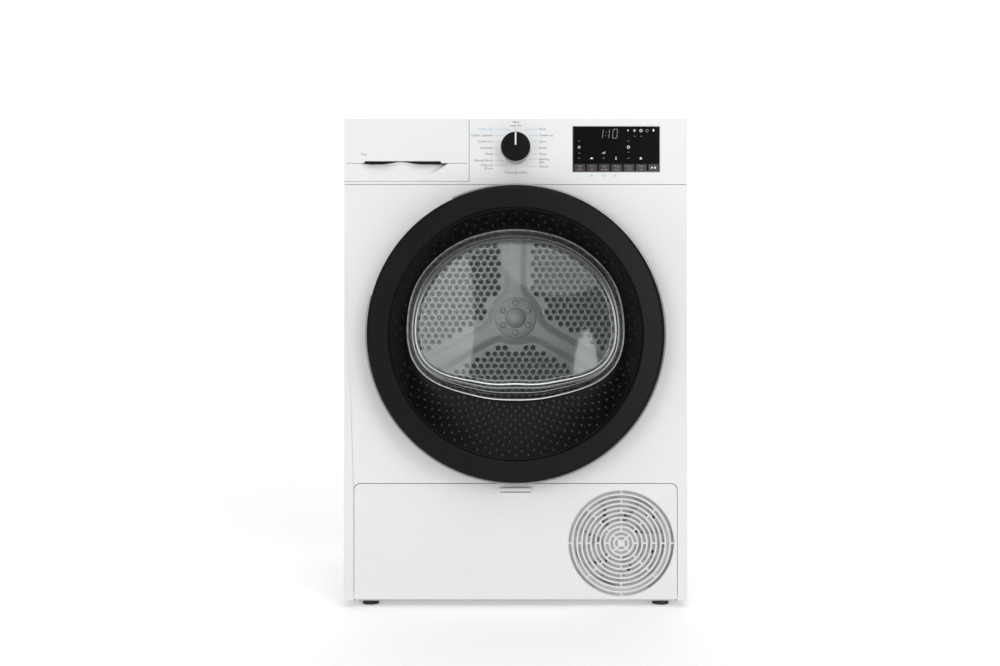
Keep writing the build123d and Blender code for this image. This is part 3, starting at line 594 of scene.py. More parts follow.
def painted_highlight_bead(name, sfrac, grow, y, rad, mat):
    """a thin round bead along a contour of the bowl"""
    path = mixloop(sfrac, grow, y)
    cen = np.array([0, 0, ZR])
    L_ = []
    for q in range(8):
        a_ = 2 * math.pi * q / 8
        w_ = path.copy()
        rr_ = path - cen
        rr_[:, 1] = 0
        rr_ = rr_ / np.linalg.norm(rr_, axis=1)[:, None]
        w_ = w_ + rr_ * rad * math.cos(a_)
        w_[:, 1] += rad * math.sin(a_)
        L_.append(w_)
    L_.append(L_[0])
    V_, F_ = stitch(L_)
    return make(name, V_, F_, mat, "door", slot="glass")


# painted highlights on the bowl: glowing white beads, brighter towards the bottom
PAINTED_HL_RIM = painted_highlight_material("painted_highlight_rim", [(0.0, 0.85), (0.05, 0.60), (0.16, 0.22), (0.5, 0.14), (0.9, 0.10), (1.0, 0.12)], 0.8)
PAINTED_HL_DEEP = painted_highlight_material("painted_highlight_deep", [(0.0, 0.40), (0.10, 0.95), (0.42, 1.0), (0.60, 0.45), (0.72, 0.12), (1.0, 0.05)], 0.95, 0.9)
PAINTED_HL_MID = painted_highlight_material("painted_highlight_mid", [(0.0, 0.45), (0.20, 0.40), (0.45, 0.50), (0.7, 0.25), (1.0, 0.18)], 0.7)
painted_highlight_bead("glass_rim_painted_highlight", 0.0, -1.0, -247.2, 0.9, PAINTED_HL_RIM)
painted_highlight_bead("glass_deep_painted_highlight", 0.97, -3.0, -179.0, 1.25, PAINTED_HL_DEEP)
painted_highlight_bead("glass_painted_highlight_a", 0.30, -5.6, -222.0, 0.45, PAINTED_HL_MID)
painted_highlight_bead("glass_painted_highlight_b", 0.62, -5.6, -200.0, 0.45, PAINTED_HL_MID)
painted_highlight_bead("glass_painted_highlight_c", 1.0, -9.5, -170.2, 0.45, PAINTED_HL_MID)

# ------------------------------------------------------------------- drum inside
DZ = 510.0
Y_BACK = 229.0


def hexcell(V, F, cx, cz, y, pitch, hole):
    """one cell of a punched sheet: hexagon outside, round hole inside with a rolled edge"""
    R6 = pitch / math.sqrt(3)
    b = len(V)
    o = []
    for q in range(12):
        a = math.radians(30 * q + 30)
        if q % 2 == 0:
            rr = R6
        else:
            rr = R6 * math.cos(math.radians(30))
        V.append((cx + rr * math.cos(a), y, cz + rr * math.sin(a)))
        o.append(b + q)
    if hole <= 0:
        F.append(tuple(o[::-1]))
        return
    prev = o
    for rr, dy in ((hole + 1.5, -0.1), (hole + 0.7, -0.75), (hole + 0.1, -0.2), (hole, 2.6)):
        cur = []
        for q in range(12):
            a = math.radians(30 * q + 30)
            V.append((cx + rr * math.cos(a), y + dy, cz + rr * math.sin(a)))
            cur.append(len(V) - 1)
        for q in range(12):
            q2 = (q + 1) % 12
            F.append((prev[q2], prev[q], cur[q], cur[q2]))
        prev = cur


def star_h(x, z):
    """height of the pressed star over the punched sheet, millimetres"""
    rr = np.hypot(x, z)
    d = rr - 52.0                                # hub boss
    for k in range(3):
        a = math.radians(90 + 120 * k)
        u = x * math.cos(a) + z * math.sin(a)
        v = np.abs(-x * math.sin(a) + z * math.cos(a))
        half = 17.5 + 34.0 * np.exp(-(np.maximum(u, 0) / 38.0) ** 2)
        da = np.where(u > 0, v - half, rr - 20.0)
        kk = 10.0
        h = np.clip(0.5 + 0.5 * (da - d) / kk, 0, 1)
        d = da * (1 - h) + d * h - kk * h * (1 - h)
    t = np.clip(-(d - 10.0) / 20.0, 0, 1)
    s = t * t * (3 - 2 * t)
    return s * 6.0 - 0.6, d


PV, PF = [], []
pitch = 15.0
for i in range(-22, 23):
    for j in range(-24, 25):
        cx = pitch * (i + 0.5 * (j % 2))
        cz = pitch * 0.8660254 * j
        rr = math.hypot(cx, cz)
        if rr > 272:
            continue
        hh, dd = star_h(np.array([cx]), np.array([cz]))
        if dd[0] < -8:
            continue
        hole = 5.0 if (rr < 258 and dd[0] > 14.0) else 0
        hexcell(PV, PF, cx, DZ + cz, Y_BACK - 0.4, pitch, hole)
make("drum_back_sheet", np.array(PV), PF, M["stainless"], "drum", smooth=True, sharp=40, rep=("drum_back",), slot="stainless")
g = 3.0
ax = np.arange(-270, 270.1, g)
gx, gz = np.meshgrid(ax, ax)
hh, dd = star_h(gx, gz)
rr = np.hypot(gx, gz)
keep = (dd < 11.5) & (rr < 268)
idx = -np.ones(gx.shape, int)
SV, SF = [], []
for (i, j) in np.argwhere(keep):
    idx[i, j] = len(SV)
    SV.append((gx[i, j], Y_BACK - 0.4 - hh[i, j], DZ + gz[i, j]))
for i in range(gx.shape[0] - 1):
    for j in range(gx.shape[1] - 1):
        q = (idx[i, j], idx[i, j + 1], idx[i + 1, j + 1], idx[i + 1, j])
        if min(q) >= 0:
            SF.append(q[::-1])
make("drum_back_star", np.array(SV), SF, M["stainless"], "drum", slot="stainless")
revolve("drum_back_rim", [(255, Y_BACK - 0.9), (270, Y_BACK - 0.9), (276, Y_BACK - 1.6), (280, Y_BACK - 5), (281.5, Y_BACK - 10),
                          (283.2, Y_BACK - 10), (283.2, Y_BACK + 0.6), (255, Y_BACK + 0.6)], M["stainless"], "drum", 0, DZ, n=240, slot="stainless")
# hub with dome and rivets
hubp = [(0.01, 210.2), (8, 210.9), (15, 212.8), (20.5, 216.2), (22.4, 218.2), (24.0, 218.6), (42.0, 218.6), (43.4, 219.2), (44.2, 220.8), (44.2, 222.6), (0.01, 222.6)]
revolve("drum_hub_disc", hubp, M["stainless"], "drum", 0, DZ, n=96, rep=("drum_hub_cap",), slot="stainless")
RV, RF = [], []
for k in range(6):
    a = math.radians(30 + 60 * k)
    cx, cz = 31.8 * math.cos(a), DZ + 31.8 * math.sin(a)
    b = len(RV)
    prof = [(6.9, 218.7), (6.6, 217.7), (5.6, 217.4), (4.9, 218.0), (3.9, 217.7), (2.4, 216.9), (0.6, 216.6)]
    for r, y in prof:
        for q in range(20):
            t = 2 * math.pi * q / 20
            RV.append((cx + r * math.cos(t), y, cz + r * math.sin(t)))
    for m in range(len(prof) - 1):
        for q in range(20):
            RF.append((b + m * 20 + q, b + m * 20 + (q + 1) % 20, b + (m + 1) * 20 + (q + 1) % 20, b + (m + 1) * 20 + q))
    RF.append([b + (len(prof) - 1) * 20 + q for q in range(20)])
# profile faces 1 and 2 of each rivet take the darker lifter_grey as painted shade in the gap round the head
rivet_gap_shade_index = []
for k in range(6):
    for m in range(6):
        rivet_gap_shade_index += [1 if m in (1, 2) else 0] * 20
    rivet_gap_shade_index.append(0)
make("drum_hub_rivets", np.array(RV), RF, M["stainless"], "drum", slot="stainless", mats=[M["stainless"], M["lifter_grey"]], mat_index=rivet_gap_shade_index)

# drum shell: smooth tube, with only a fine noise bump in the material and no punched holes
shell_m = material("stainless_punched", (0.62, 0.62, 0.62), 0.42, metal=0.75, var=0.05, scale=30, bump=0.1, bump_scale=700)
revolve("drum_tube", fillet2d([(266, -200), (285, -200), (285, 230), (283.5, 230), (283.5, -198.5), (266, -198.5)],
                              [0.5, 1.2, 0.5, 0.3, 1.0, 0.5], n=3), shell_m, "drum", 0, DZ, n=240, rep=("drum_shell",), slot="stainless")

# ------------------------------------------------------------------ knob
kp = fillet2d([(0.01, -289.9), (24.9, -289.9), (25.2, -284.0), (25.2, -265.0), (25.9, -264.35), (23.5, -264.35), (22.4, -285), (7, -285), (7, -262.8), (3.0, -262.8),
               (3.0, -249), (0.01, -249)], [0, 1.7, 0.1, 0.1, 0.2, 0.2, 1, 1, 0.3, 0, 0.2, 0], n=6)
revolve("selector_knob", kp, M["black_satin"], "knob", 0, 797.1, n=144, rep=("program_knob",), slot="black_satin")
revolve("selector_ring", fillet2d([(22.5, -264.2), (26.6, -264.2), (27.6, -263.4), (27.6, -262.2), (22.5, -262.2)], [0.1, 0.7, 0.5, 0.1, 0.1], n=4),
        M["silver_trim"], "knob", 0, 797.1, n=144, slot="silver_trim")
revolve("selector_skirt", fillet2d([(25.2, -285.6), (25.5, -285.6), (26.3, -265.4), (25.9, -264.4), (25.2, -264.4)], [0.05, 0.12, 0.3, 0.2, 0.05], n=3),
        M["skirt_grey"], "knob", 0, 797.1, n=144, slot="silver_trim")
PZ = 797.1
pv = []
for (x, z) in fillet2d([(-1.3, PZ + 2.2), (1.3, PZ + 2.2), (1.3, PZ + 24.0), (-1.3, PZ + 24.0)], 0.8, n=4):
    pv.append((x, -290.05, z))
n0 = len(pv)
pv += [(x, -289.7, z) for x, _, z in pv]
pf = [list(range(n0))] + [(i, i + n0, (i + 1) % n0 + n0, (i + 1) % n0) for i in range(n0)]
make("selector_pointer", np.array(pv), pf, M["white_plastic"], "knob", smooth=False, slot="white_plastic")

# ---------------------------------------------------------------- tank drawer front
x0, x1, z0, z1 = -298.5, X(469.5) - 0.7, 740.4, 850.0
YB_T = -238.5


def sstep(a, b, x):
    t = np.clip((x - a) / (b - a), 0, 1)
    return t * t * (3 - 2 * t)


LIP_Z = Z(161.0)               # lower edge of the upper plate over the finger slot
SEAM_Z = Z(163.3)
XL_S, XR_S = X(364.5), X(441.0)


def bulge(x):
    return np.exp(-((x - X(401.0)) / 21.0) ** 2)


def ztop(x):
    """upper edge of the scooped lower plate"""
    inside = sstep(XL_S - 1.2, XL_S + 1.2, x) * (1 - sstep(XR_S - 1.2, XR_S + 1.2, x))
    return SEAM_Z + inside * bulge(x) * (LIP_Z - 0.5 - SEAM_Z)


def lipz(x):
    """lower edge of the upper plate"""
    inside = sstep(XL_S - 1.0, XL_S + 1.0, x) * (1 - sstep(XR_S - 1.0, XR_S + 1.0, x))
    return (SEAM_Z + 0.55) * (1 - inside) + LIP_Z * inside


def scoop_depth(x, z):
    """depth of the finger scoop behind the front plane"""
    bot = Z(178.3)
    v = np.clip((SEAM_Z - z) / (SEAM_Z - bot), 0, 1)       # 0 at the slot, 1 at the foot
    left = sstep(X(358.5), X(372), x)
    edge = X(449.3) + (X(430.4) - X(449.3)) * v            # slanted right wall
    right = 1 - sstep(-11.0 - 8 * v, 0.0, x - edge)
    prof = (1 - v) ** 1.1
    return 11.5 * prof * left * right * (1 - 0.62 * bulge(x) * (1 - 0.4 * v))


xs = np.unique(np.concatenate([np.linspace(x0 + 4, x1 - 3, 130), np.linspace(X(425), X(452), 60), np.linspace(XL_S - 2, XL_S + 2, 9), np.linspace(XR_S - 2, XR_S + 2, 9)]))
TV, TF, TM = [], [], []


def grid(xs, vs, f, mat=0):
    b = len(TV)
    for t in vs:
        for xx in xs:
            TV.append(f(xx, t))
    nx = len(xs)
    for i in range(len(vs) - 1):
        for j in range(nx - 1):
            TF.append((b + i * nx + j, b + i * nx + j + 1, b + (i + 1) * nx + j + 1, b + (i + 1) * nx + j))
            TM.append(mat)


def low(x, t):
    za_ = z0 + 3
    z = za_ + (float(ztop(np.array([x]))[0]) - za_) * t
    d = float(scoop_depth(np.array([x]), np.array([z]))[0])
    e = max(0.0, 1 - (1 - t) * 40)
    return (x, YF + d + 0.35 * e * e, z)


def high(x, t):
    zl = float(lipz(np.array([x]))[0])
    z = zl + (z1 - 3 - zl) * t
    k = z - zl
    return (x, YF + (0.45 * (1 - k / 0.7) ** 2 if k < 0.7 else 0.0), z)


def pocket(x, t):
    """gap behind the upper plate, whose faces take a near-black material as painted shade"""
    a = low(x, 1.0)
    zl = float(lipz(np.array([x]))[0])
    P_ = [(a[1], a[2]), (a[1] + 5.0, a[2]), (a[1] + 5.0, zl + 3.0), (YF + 1.6, zl + 3.0), (YF + 0.6, zl)]
    y, z = P_[t]
    return (x, y, z)


grid(xs, np.linspace(0, 1, 60) ** 0.8, low)
grid(xs, np.concatenate([[0, 0.003, 0.006, 0.01], np.linspace(0.02, 1, 12)]), high)
# material 1 on the pocket faces is painted shade
grid(xs, [0, 1, 2, 3, 4], pocket, mat=1)
# rounded frame round the face, and the sides
rim_o = fillet2d([(x0, z0), (x1, z0), (x1, z1), (x0, z1)], [0.5, 0.5, 0.5, 3.4], n=6)
make("drawer_face", np.array(TV), TF, M["white_plastic"], "tank", rep=("tank_front",), slot="white_plastic", sharp=50,
     mats=[M["white_plastic"], M["painted_shade_slot"]], mat_index=TM)
xa, xb, za, zb = x0 + 4, x1 - 3, z0 + 3, z1 - 3
per_i = [(xa, za), (xb, za), (xb, zb), (xa, zb)]


def ringloop(x0_, x1_, z0_, z1_, rr, y, n=6):
    P = fillet2d([(x0_, z0_), (x1_, z0_), (x1_, z1_), (x0_, z1_)], rr, n=n)
    return np.array([(p[0], y, p[1]) for p in P])


L = []
rr0 = [0.02, 0.02, 0.02, 0.02]
L.append(ringloop(xa, xb, za, zb, rr0, YF))
for ins, dy in ((0.9, 0.0), (0.45, 0.12), (0.12, 0.45), (0.0, 0.95)):
    L.append(ringloop(x0 + ins, x1 - ins, z0 + ins, z1 - ins, [0.6, 0.6, 0.6, max(3.4 - ins, 0.5)], YF + dy))
L.append(ringloop(x0, x1, z0, z1, [0.6, 0.6, 0.6, 3.4], YB_T))
L.append(ringloop(x0 + 3, x1 - 3, z0 + 3, z1 - 3, [0.6, 0.6, 0.6, 2.0], YB_T))
L.append(ringloop(x0 + 3, x1 - 3, z0 + 3, z1 - 3, [0.6, 0.6, 0.6, 2.0], -243.0))
V, F = stitch(L)
F = list(F)
nb = len(L[0])
F.append([len(V) - nb + i for i in range(nb)])
make("drawer_frame", V, F, M["white_plastic"], "tank", slot="white_plastic", sharp=40)


# -------------------------------------------------------------- flat prints
class Print:
    def __init__(self, y):
        self.v, self.f, self.y = [], [], y

    def poly(self, pts):
        b = len(self.v)
        self.v += [(p[0], self.y, p[1]) for p in pts]
        self.f.append(list(range(b, b + len(pts))))

    def rect(self, xa, xb, za, zb):
        self.poly([(xa, za), (xb, za), (xb, zb), (xa, zb)])

    def line(self, pts, w):
        for a, b in zip(pts[:-1], pts[1:]):
            a, b = np.array(a, float), np.array(b, float)
            d = b - a
            d = d / max(1e-9, np.linalg.norm(d))
            n = np.array([-d[1], d[0]]) * w / 2
            self.poly([a - n, b - n, b + n, a + n])

    def circle(self, cx, cz, r0, r1, n=28, a0=0, a1=360):
        full = abs(a1 - a0) >= 359.9
        m = n if full else n + 1
        A = [math.radians(a0 + (a1 - a0) * i / n) for i in range(m)]
        if r0 <= 0:
            self.poly([(cx + r1 * math.cos(a), cz + r1 * math.sin(a)) for a in A])
            return
        for i in range(n):
            a, b = A[i], A[(i + 1) % m]
            self.poly([(cx + r0 * math.cos(a), cz + r0 * math.sin(a)), (cx + r1 * math.cos(a), cz + r1 * math.sin(a)),
                       (cx + r1 * math.cos(b), cz + r1 * math.sin(b)), (cx + r0 * math.cos(b), cz + r0 * math.sin(b))])

    def text(self, s, x, z, size, align="LEFT", bold=0.0):
        cu = bpy.data.curves.new("t", "FONT")
        cu.body = s
        cu.size = size
        cu.align_x = align
        cu.align_y = "CENTER"
        cu.offset = bold
        cu.resolution_u = 3
        ob = bpy.data.objects.new("t", cu)
        scene.collection.objects.link(ob)
        bpy.context.view_layer.update()
        me = bpy.data.meshes.new_from_object(ob.evaluated_get(bpy.context.evaluated_depsgraph_get()))
        b = len(self.v)
        self.v += [(x + v.co.x, self.y, z + v.co.y) for v in me.vertices]
        for p in me.polygons:
            self.f.append([b + i for i in p.vertices])
        bpy.data.objects.remove(ob)
        bpy.data.curves.remove(cu)
        bpy.data.meshes.remove(me)

    def done(self, name, mat, body, slot="white_plastic"):
        ob = make(name, np.array(self.v), self.f, mat, body, smooth=False, slot=slot)
        # faces look forwards
        me = ob.data
        flip = [p for p in me.polygons if p.normal.y > 0]
        if flip:
            import bmesh
            bm = bmesh.new()
            bm.from_mesh(me)
            bmesh.ops.reverse_faces(bm, faces=[f for f in bm.faces if f.normal.y > 0])
            bm.to_mesh(me)
            bm.free()
        return ob


# dial labels: sixteen positions
grey, blue, lite = Print(YF - 0.06), Print(YF - 0.06), Print(YF - 0.06)
TXT = 5.3
left = [("Cotton eco", 129.0, 1, 509.0, 126.6), ("Cotton cupboard", 135.2, 1, 502.4, None), ("Cotton iron", 141.3, 1, 499.1, None), ("Synthetics", 147.7, 0, 498.4, None),
        ("Mixed", 153.9, 0, 499.1, None), ("Delicate fabrics", 160.2, 0, 503.9, None), ("Warm air", 165.0, 0, 508.0, 164.6)]
right = [("Shirts", 129.0, 1, 525.5, 126.6), ("Towels dry", 135.2, 1, 528.8, None), ("Sport", 141.4, 1, 532.8, None), ("Denim", 147.7, 0, 533.9, None),
         ("Wool", 153.9, 0, 531.4, None), ("Bedding", 159.0, 0, 528.4, None), ("Refresh", 166.4, 0, 525.1, 164.8)]
for s, v, b, e, kink in left:
    p = blue if s == "Cotton eco" else grey
    p.text(s, X(492.9), Z(v), TXT, "RIGHT")
    ln = blue if b else lite
    if kink is None:
        ln.line([(X(494.7), Z(v)), (X(e), Z(v))], 0.5)
    else:
        ln.line([(X(494.7), Z(v)), (X(e - 2.6), Z(v)), (X(e), Z(v + (1.6 if v < 140 else -1.6)))], 0.5)
for s, v, b, e, kink in right:
    p = grey
    p.text(s, X(539.2), Z(v), TXT, "LEFT")
    ln = blue if b else lite
    if kink is None:
        ln.line([(X(e), Z(v)), (X(537.6), Z(v))], 0.5)
    else:
        ln.line([(X(e), Z(v + (1.6 if v < 140 else -1.6))), (X(e + 2.6), Z(v)), (X(537.6), Z(v))], 0.5)
grey.text("Hand", X(516), Z(121.9), TXT, "CENTER")
grey.text("wash dry", X(516), Z(125.3), TXT, "CENTER")
grey.text("Time programmes", X(516), Z(172.2), TXT, "CENTER")
grey.text("30 min", X(492.9), Z(168.2), TXT, "RIGHT")
grey.text("light", X(539.2), Z(162.0), TXT, "LEFT")
lite.line([(X(516), Z(127.6)), (X(516), Z(129.8))], 0.6)
lite.line([(X(516), Z(167.6)), (X(516), Z(169.8))], 0.6)
# three small symbols under the display
for u in (591.5, 604.0, 616.0):
    lite.circle(X(u) - 1.2, Z(175.3), 1.3, 1.9, n=16)
    lite.rect(X(u) + 1.4, X(u) + 4.0, Z(175.3) - 1.4, Z(175.3) - 0.9)
    lite.rect(X(u) + 1.4, X(u) + 3.2, Z(175.3) + 0.2, Z(175.3) + 0.7)
grey.done("dial_words", M["ink_grey"], "cabinet")
blue.done("dial_words_blue", M["ink_blue"], "cabinet")
lite.done("dial_lines", M["ink_light"], "cabinet")
# plain capacity mark on the drawer
cap = Print(YF - 0.06)
cap.text("9 kg", X(361.5), Z(154.0), 5.0, "LEFT")
cap.done("capacity_words", M["ink_grey"], "tank")

# ------------------------------------------------------------------- display
YD = -262.3
dig = Print(YD - 0.10)
on, dim, keyb, keyt, keyblue, outl = (Print(YD - 0.10), Print(YD - 0.10), Print(YD - 0.05), Print(YD - 0.10), Print(YD - 0.10), Print(YD - 0.08))
xa, xb, za, zb = 98.9, 250.9, 756.2, 836.3
w = 0.8
for (a, b, c_, d) in ((xa, xb, za, za + w), (xa, xb, zb - w, zb), (xa, xa + w, za + w, zb - w), (xb - w, xb, za + w, zb - w)):
    outl.rect(a, b, c_, d)
SEG = {"0": "abcdef", "1": "bc", "2": "abged", "3": "abgcd", "5": "afgcd"}


def digit(p, ch, x, z, wd, ht, t):
    h2 = ht / 2
    sh = 0.10
    segs = {"a": [(0, ht), (wd, ht)], "g": [(0, h2), (wd, h2)], "d": [(0, 0), (wd, 0)], "f": [(0, h2), (0, ht)], "e": [(0, 0), (0, h2)],
            "b": [(wd, h2), (wd, ht)], "c": [(wd, 0), (wd, h2)]}
    for s in SEG[ch]:
        (ax_, az_), (bx_, bz_) = segs[s]
        g_ = 0.5
        if ax_ == bx_:
            az_, bz_ = az_ + g_, bz_ - g_
        else:
            ax_, bx_ = ax_ + g_, bx_ - g_
        p.line([(x + ax_ + az_ * sh, z + az_), (x + bx_ + bz_ * sh, z + bz_)], t)


dz0, dh = Z(138.0), (138.0 - 129.2) * S
digit(dig, "1", X(599.2), dz0, 5.6, dh, 0.95)
dig.circle(X(606.3), Z(131.9), 0, 0.65, n=10)
dig.circle(X(605.8), Z(135.4), 0, 0.65, n=10)
digit(dig, "1", X(605.6), dz0, 5.6, dh, 0.95)
digit(dig, "0", X(612.4), dz0, 7.6, dh, 0.95)


def icon(p, u, v, kind, r=2.6):
    x, z = X(u), Z(v)
    if kind == "ring":
        p.circle(x, z, r * 0.62, r, n=20)
    elif kind == "dot":
        p.circle(x, z, 0, r * 0.5, n=14)
    elif kind == "sun":
        p.circle(x, z, 0, r * 0.42, n=14)
        for q in range(8):
            a = math.radians(45 * q)
            p.line([(x + r * 0.62 * math.cos(a), z + r * 0.62 * math.sin(a)), (x + r * math.cos(a), z + r * math.sin(a))], 0.5)
    elif kind == "iron":
        p.poly([(x - r, z - r * 0.55), (x + r, z - r * 0.55), (x + r * 0.8, z + r * 0.45), (x - r * 0.3, z + r * 0.45)])
    elif kind == "drop":
        p.poly([(x + r * 0.65 * math.cos(t), z - r * 0.25 + r * 0.65 * math.sin(t)) for t in np.linspace(math.radians(150), math.radians(390), 14)] + [(x, z + r)])
    elif kind == "bars":
        for q in range(3):
            p.rect(x - r + q * r * 0.75, x - r + q * r * 0.75 + 0.8, z - r * 0.8, z - r * 0.8 + r * (0.7 + 0.45 * q))
    elif kind == "therm":
        p.circle(x, z - r * 0.6, 0, r * 0.42, n=14)
        p.rect(x - 0.5, x + 0.5, z - r * 0.5, z + r)
    elif kind == "lock":
        p.rect(x - r * 0.7, x + r * 0.7, z - r * 0.8, z + r * 0.15)
        p.circle(x, z + r * 0.15, r * 0.35, r * 0.6, n=12, a0=0, a1=180)
    elif kind == "dash":
        p.rect(x - r * 0.7, x + r * 0.7, z - 0.4, z + 0.4)


for u, v, k_, l_ in ((628, 130.3, "dot", 1), (634.5, 130.5, "sun", 1), (641, 130.5, "ring", 1), (647, 130.5, "ring", 0), (653.5, 130, "drop", 1),
                     (634.5, 136, "dash", 0), (641, 136, "dash", 0), (579.2, 141, "dash", 0), (579.2, 147, "sun", 1), (579.2, 153, "dash", 0), (579.2, 158, "dash", 0),
                     (591.5, 158, "iron", 1), (603.8, 152.5, "bars", 1), (603.8, 158, "dash", 0), (616, 158, "therm", 1), (628.4, 141, "dash", 0),
                     (628.4, 147, "ring", 1), (628.4, 152, "dash", 0), (628.4, 158, "dash", 0), (640.8, 158, "lock", 1)):
    icon(on if l_ else dim, u, v, k_)
for q, (a, b) in enumerate(((574.5, 585.2), (586.8, 597.4), (599.1, 609.6), (611.3, 621.9), (623.6, 634.2), (635.8, 646.6), (648.4, 658.6))):
    P = fillet2d([(X(a), Z(171.2)), (X(b), Z(171.2)), (X(b), Z(163.9)), (X(a), Z(163.9))], 1.0, n=3)
    keyb.poly(P)
    xm = (X(a) + X(b)) / 2
    if q < 6:
        t = keyblue if q == 4 else keyt
        t.text(("Dry", "Iron", "Low", "Temp", "Sound", "Delay")[q], xm, Z(166.2), 3.9, "CENTER")
        t.text(("level", "dry", "crease", "level", "on/off", "end")[q], xm, Z(169.2), 3.9, "CENTER")
    else:
        on.poly([(xm - 4.2, Z(167.5) - 2.0), (xm - 0.6, Z(167.5)), (xm - 4.2, Z(167.5) + 2.0)])
        on.rect(xm + 1.0, xm + 2.0, Z(167.5) - 2.0, Z(167.5) + 2.0)
        on.rect(xm + 3.0, xm + 4.0, Z(167.5) - 2.0, Z(167.5) + 2.0)
dig.done("display_digits", M["digit_grey"], "cabinet", "display_black")
on.done("display_lit", M["led_white"], "cabinet", "display_black")
dim.done("display_unlit", M["led_dim"], "cabinet", "display_black")
keyb.done("touch_keys", M["key_brown"], "cabinet", "display_black")
keyt.done("touch_key_words", M["key_text"], "cabinet", "display_black")
keyblue.done("touch_key_words_blue", M["key_blue"], "cabinet", "display_black")
outl.done("display_edge", M["outline"], "cabinet", "display_black")

# ------------------------------------------------- pull tab on the service flap
TL = [ringloop(-26.6, 26.6, 201.8, 208.0, 1.2, -264.9), ringloop(-26.6, 26.6, 201.8, 208.0, 1.2, -266.2), ringloop(-26.0, 26.0, 202.4, 207.4, 0.9, -266.9)]
V, F = stitch(TL)
F = list(F)
nb = len(TL[0])
F.append([len(V) - nb + i for i in range(nb)][::-1])
make("flap_pull_lip", V, F, M["white_plastic"], "flap", slot="white_plastic", sharp=40)
# painted shadow: a flat dark strip under the pull lip stands in for the shade beneath it
tab_shadow_strip = Print(-265.1)
tab_shadow_strip.rect(-26.2, 26.2, 199.9, 201.9)
tab_shadow_strip.done("flap_pull_painted_shadow", M["seal_grey"], "flap", "white_plastic")
# two small dark plugs in the bottom edge of the side panels
for sx, nm in ((-1, "plinth_plug_left"), (1, "plinth_plug_right")):
    revolve(nm, fillet2d([(0.01, -246.5), (1.6, -246.5), (1.8, -244.0), (0.01, -244.0)], [0, 0.4, 0, 0], n=3), M["foot_black"], "cabinet", sx * 281.4, 10.0, n=24, slot="foot_black")
# stator plate closing the back of the fan shroud, with curved air slits
SV, SF = [], []
ra = [8, 14, 20, 26, 32, 38, 44, 50, 56, 62, 68, 74, 80.6]
na = 144
for r_ in ra:
    for q in range(na):
        t = 2 * math.pi * q / na
        SV.append((183.6 + r_ * math.cos(t), -206.0, 111.5 + r_ * math.sin(t)))
for a in range(len(ra) - 1):
    for q in range(na):
        twist = (q + int(ra[a] * 0.55)) % 24
        if twist in (0, 1) and 2 <= a <= 10:
            continue
        SF.append((a * na + q, a * na + (q + 1) % na, (a + 1) * na + (q + 1) % na, (a + 1) * na + q))
make("fan_stator_plate", np.array(SV), SF, M["fan_pale"], "cabinet", slot="light_grey_plastic")
revolve("fan_shroud_flange", fillet2d([(81.5, -240.6), (94.6, -240.6), (94.6, -239.4), (81.5, -239.4)], 0.3, n=2), M["fan_pale"], "cabinet", 183.6, 111.5, n=96, slot="light_grey_plastic")

# ----------------------------------------------------------- soften the CAD nodes
for n_, w_ in (("side_panel_left", 0.5), ("side_panel_right", 0.5), ("front_panel", 0.4), ("fascia", 0.5), ("top_panel", 0.6),
               ("service_flap", 0.8), ("grille", 0.3), ("door_ring", 0.5), ("door_rim_band", 0.3), ("display_glass", 0.3), ("base_tray", 0.6), ("feet", 0.4),
               ("rear_panel", 0.3), ("rear_duct_cover", 0.6), ("tank_housing", 0.5), ("compressor", 1.0), ("fan_scroll", 1.0),
               ("heat_exchanger_cover", 0.6), ("heat_exchanger_housing", 0.8), ("cooling_fan", 0.3), ("fan_shroud", 0.5), ("front_bulkhead", 0.5),
               ("lint_filter_frame", 0.5), ("door_back_frame", 0.5), ("drum_lifters", 4.0), ("motor_body", 0.8), ("door_seal", 0.8)):
    soften(n_, w_)
for n_ in N:
    if not N[n_].modifiers:
        soften(n_, 0.0)

# --------------------------------------------------------------- camera and light
cam = bpy.data.cameras.new("camera")
cam.lens = 41.44
cam.sensor_width = 36.0
cam.shift_x = -0.0156
cam.shift_y = 0.0008
cam.clip_start = 0.05
co = bpy.data.objects.new("camera", cam)
co.location = (0, -2.262, 0.4754)
co.rotation_euler = (math.radians(90), 0, 0)
scene.collection.objects.link(co)
scene.camera = co

floor_m = material("floor_pale", (0.92, 0.92, 0.92), 0.7, var=0.006, scale=3, emission=(1, 1, 1), emit=0.24)
fl = bpy.data.meshes.new("floor")
fl.from_pydata([(-6, -5, 0), (6, -5, 0), (6, 6, 0), (-6, 6, 0)], [], [(0, 1, 2, 3)])
flo = bpy.data.objects.new("floor", fl)
fl.materials.append(floor_m)
scene.collection.objects.link(flo)


def area(name, loc, target, size, power, color=(1, 1, 1), size_y=None):
    l = bpy.data.lights.new(name, "AREA")
    l.energy = power
    l.size = size
    l.color = color
    if size_y:
        l.shape = "RECTANGLE"
        l.size_y = size_y
    o = bpy.data.objects.new(name, l)
    o.location = loc
    d = Vector(target) - Vector(loc)
    o.rotation_euler = d.to_track_quat("-Z", "Y").to_euler()
    scene.collection.objects.link(o)
    return o


area("key", (1.5, -3.2, 1.9), (0.0, 0, 0.45), 1.7, 29)
area("fill", (-1.7, -3.3, 1.3), (0, 0, 0.45), 1.5, 18)
area("top", (0.2, -1.6, 3.0), (0, 0, 0.4), 2.0, 17)


def only(light, names):
    """a reflector panel that only shows on the named pieces"""
    c = bpy.data.collections.new(light.name + "_on")
    for n_ in names:
        c.objects.link(bpy.data.objects[n_])
    light.light_linking.receiver_collection = c
    light.visible_camera = False


def ellipse(name, px, pz, wpx, hpx, power, pieces=("door_glass",)):
    """a panel behind the camera whose reflection in the flat of the bowl covers this oval of the layout"""
    k = 2.113 * 1.821 * MM
    x = (px - 515.6) * k
    z = 0.4754 + (333.5 - pz) * k
    o = area(name, (x, -2.5, z), (x, 0, z), wpx * k, power, size_y=hpx * k)
    o.data.shape = "ELLIPSE"
    only(o, pieces)
    return o


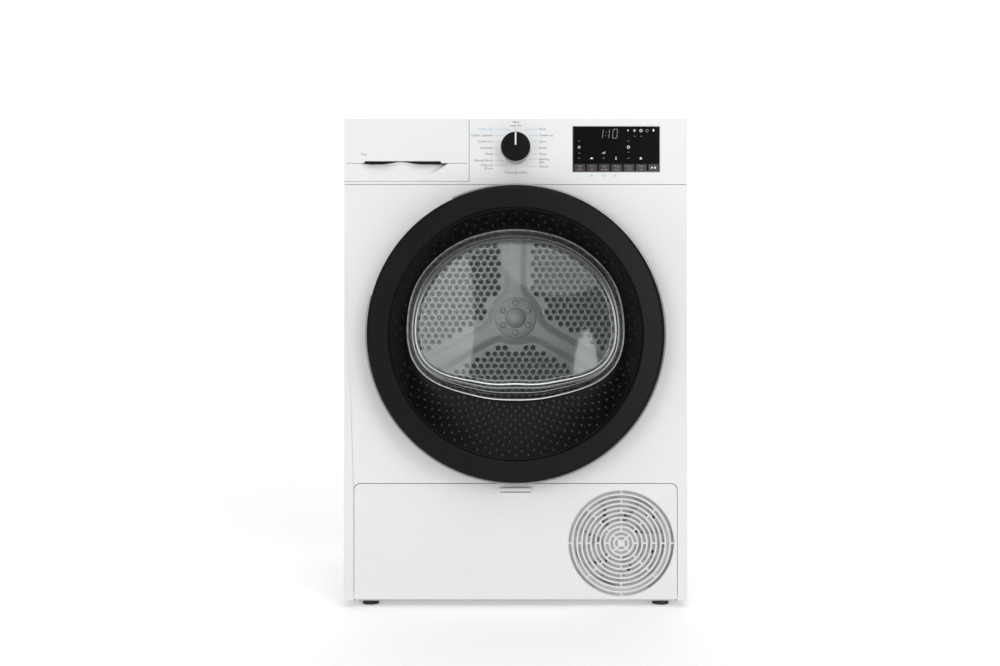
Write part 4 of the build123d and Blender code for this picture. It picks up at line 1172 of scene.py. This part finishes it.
ellipse("panel_left", 445, 318, 58, 200, 1.55)
ellipse("panel_strip_l", 447, 398, 24, 142, 0.55)
ellipse("panel_strip_r", 586, 398, 27, 138, 0.85)
ellipse("panel_wide", 560, 250, 120, 90, 0.9)
for nm, xx, p_ in (("panel_side_l", -1.9, 10.0), ("panel_side_r", 1.9, 14.0)):
    o = area(nm, (xx, -1.6, 0.55), (0, -0.2, 0.5), 0.35, p_, size_y=1.6)
    only(o, ["door_glass"])
o = area("panel_grain", (-1.5, -1.2, 0.8), (0, -0.28, 0.35), 0.8, 5.0)
only(o, ["door_funnel_grains"])
o = area("panel_funnel", (-0.2, -1.8, 1.6), (0, -0.28, 0.33), 0.9, 3.6)
only(o, ["door_funnel_skin", "door_funnel_grains"])
o = area("panel_ring", (0.85, -2.3, 0.75), (0.15, -0.3, 0.5), 0.6, 9.0, size_y=1.2)
only(o, ["door_ring"])
gb = area("grille_glow", (0.1836, -0.2572, 0.1115), (0.1836, 0.0, 0.1115), 0.17, 0.034)
gb.data.shape = "DISK"
only(gb, ["fan_stator_plate", "fan_shroud_flange", "fan_shroud", "cooling_fan", "service_flap", "base_tray", "front_panel", "side_panel_right"])
gb.visible_glossy = False
lamp = area("drum_light", (-0.15, -0.06, 0.60), (-0.08, 0.23, 0.50), 0.20, 0.52)
lamp.visible_camera = False
lamp.visible_glossy = False
bd = bpy.data.meshes.new("backdrop")
bd.from_pydata([(-9, 5.5, -1), (9, 5.5, -1), (9, 5.5, 9), (-9, 5.5, 9)], [], [(0, 1, 2, 3)])
bdm = material("backdrop_white", (0.9, 0.9, 0.9), 0.8, var=0.005, scale=2, emission=(1, 1, 1), emit=0.9)
bd.materials.append(bdm)
bdo = bpy.data.objects.new("backdrop", bd)
scene.collection.objects.link(bdo)
wd = bpy.data.worlds.new("studio")
scene.world = wd
wd.use_nodes = True
bgn = wd.node_tree.nodes["Background"]
bgn.inputs["Color"].default_value = (1, 1, 1, 1)
bgn.inputs["Strength"].default_value = 0.42
scene.view_settings.view_transform = "Standard"
scene.view_settings.look = "None"
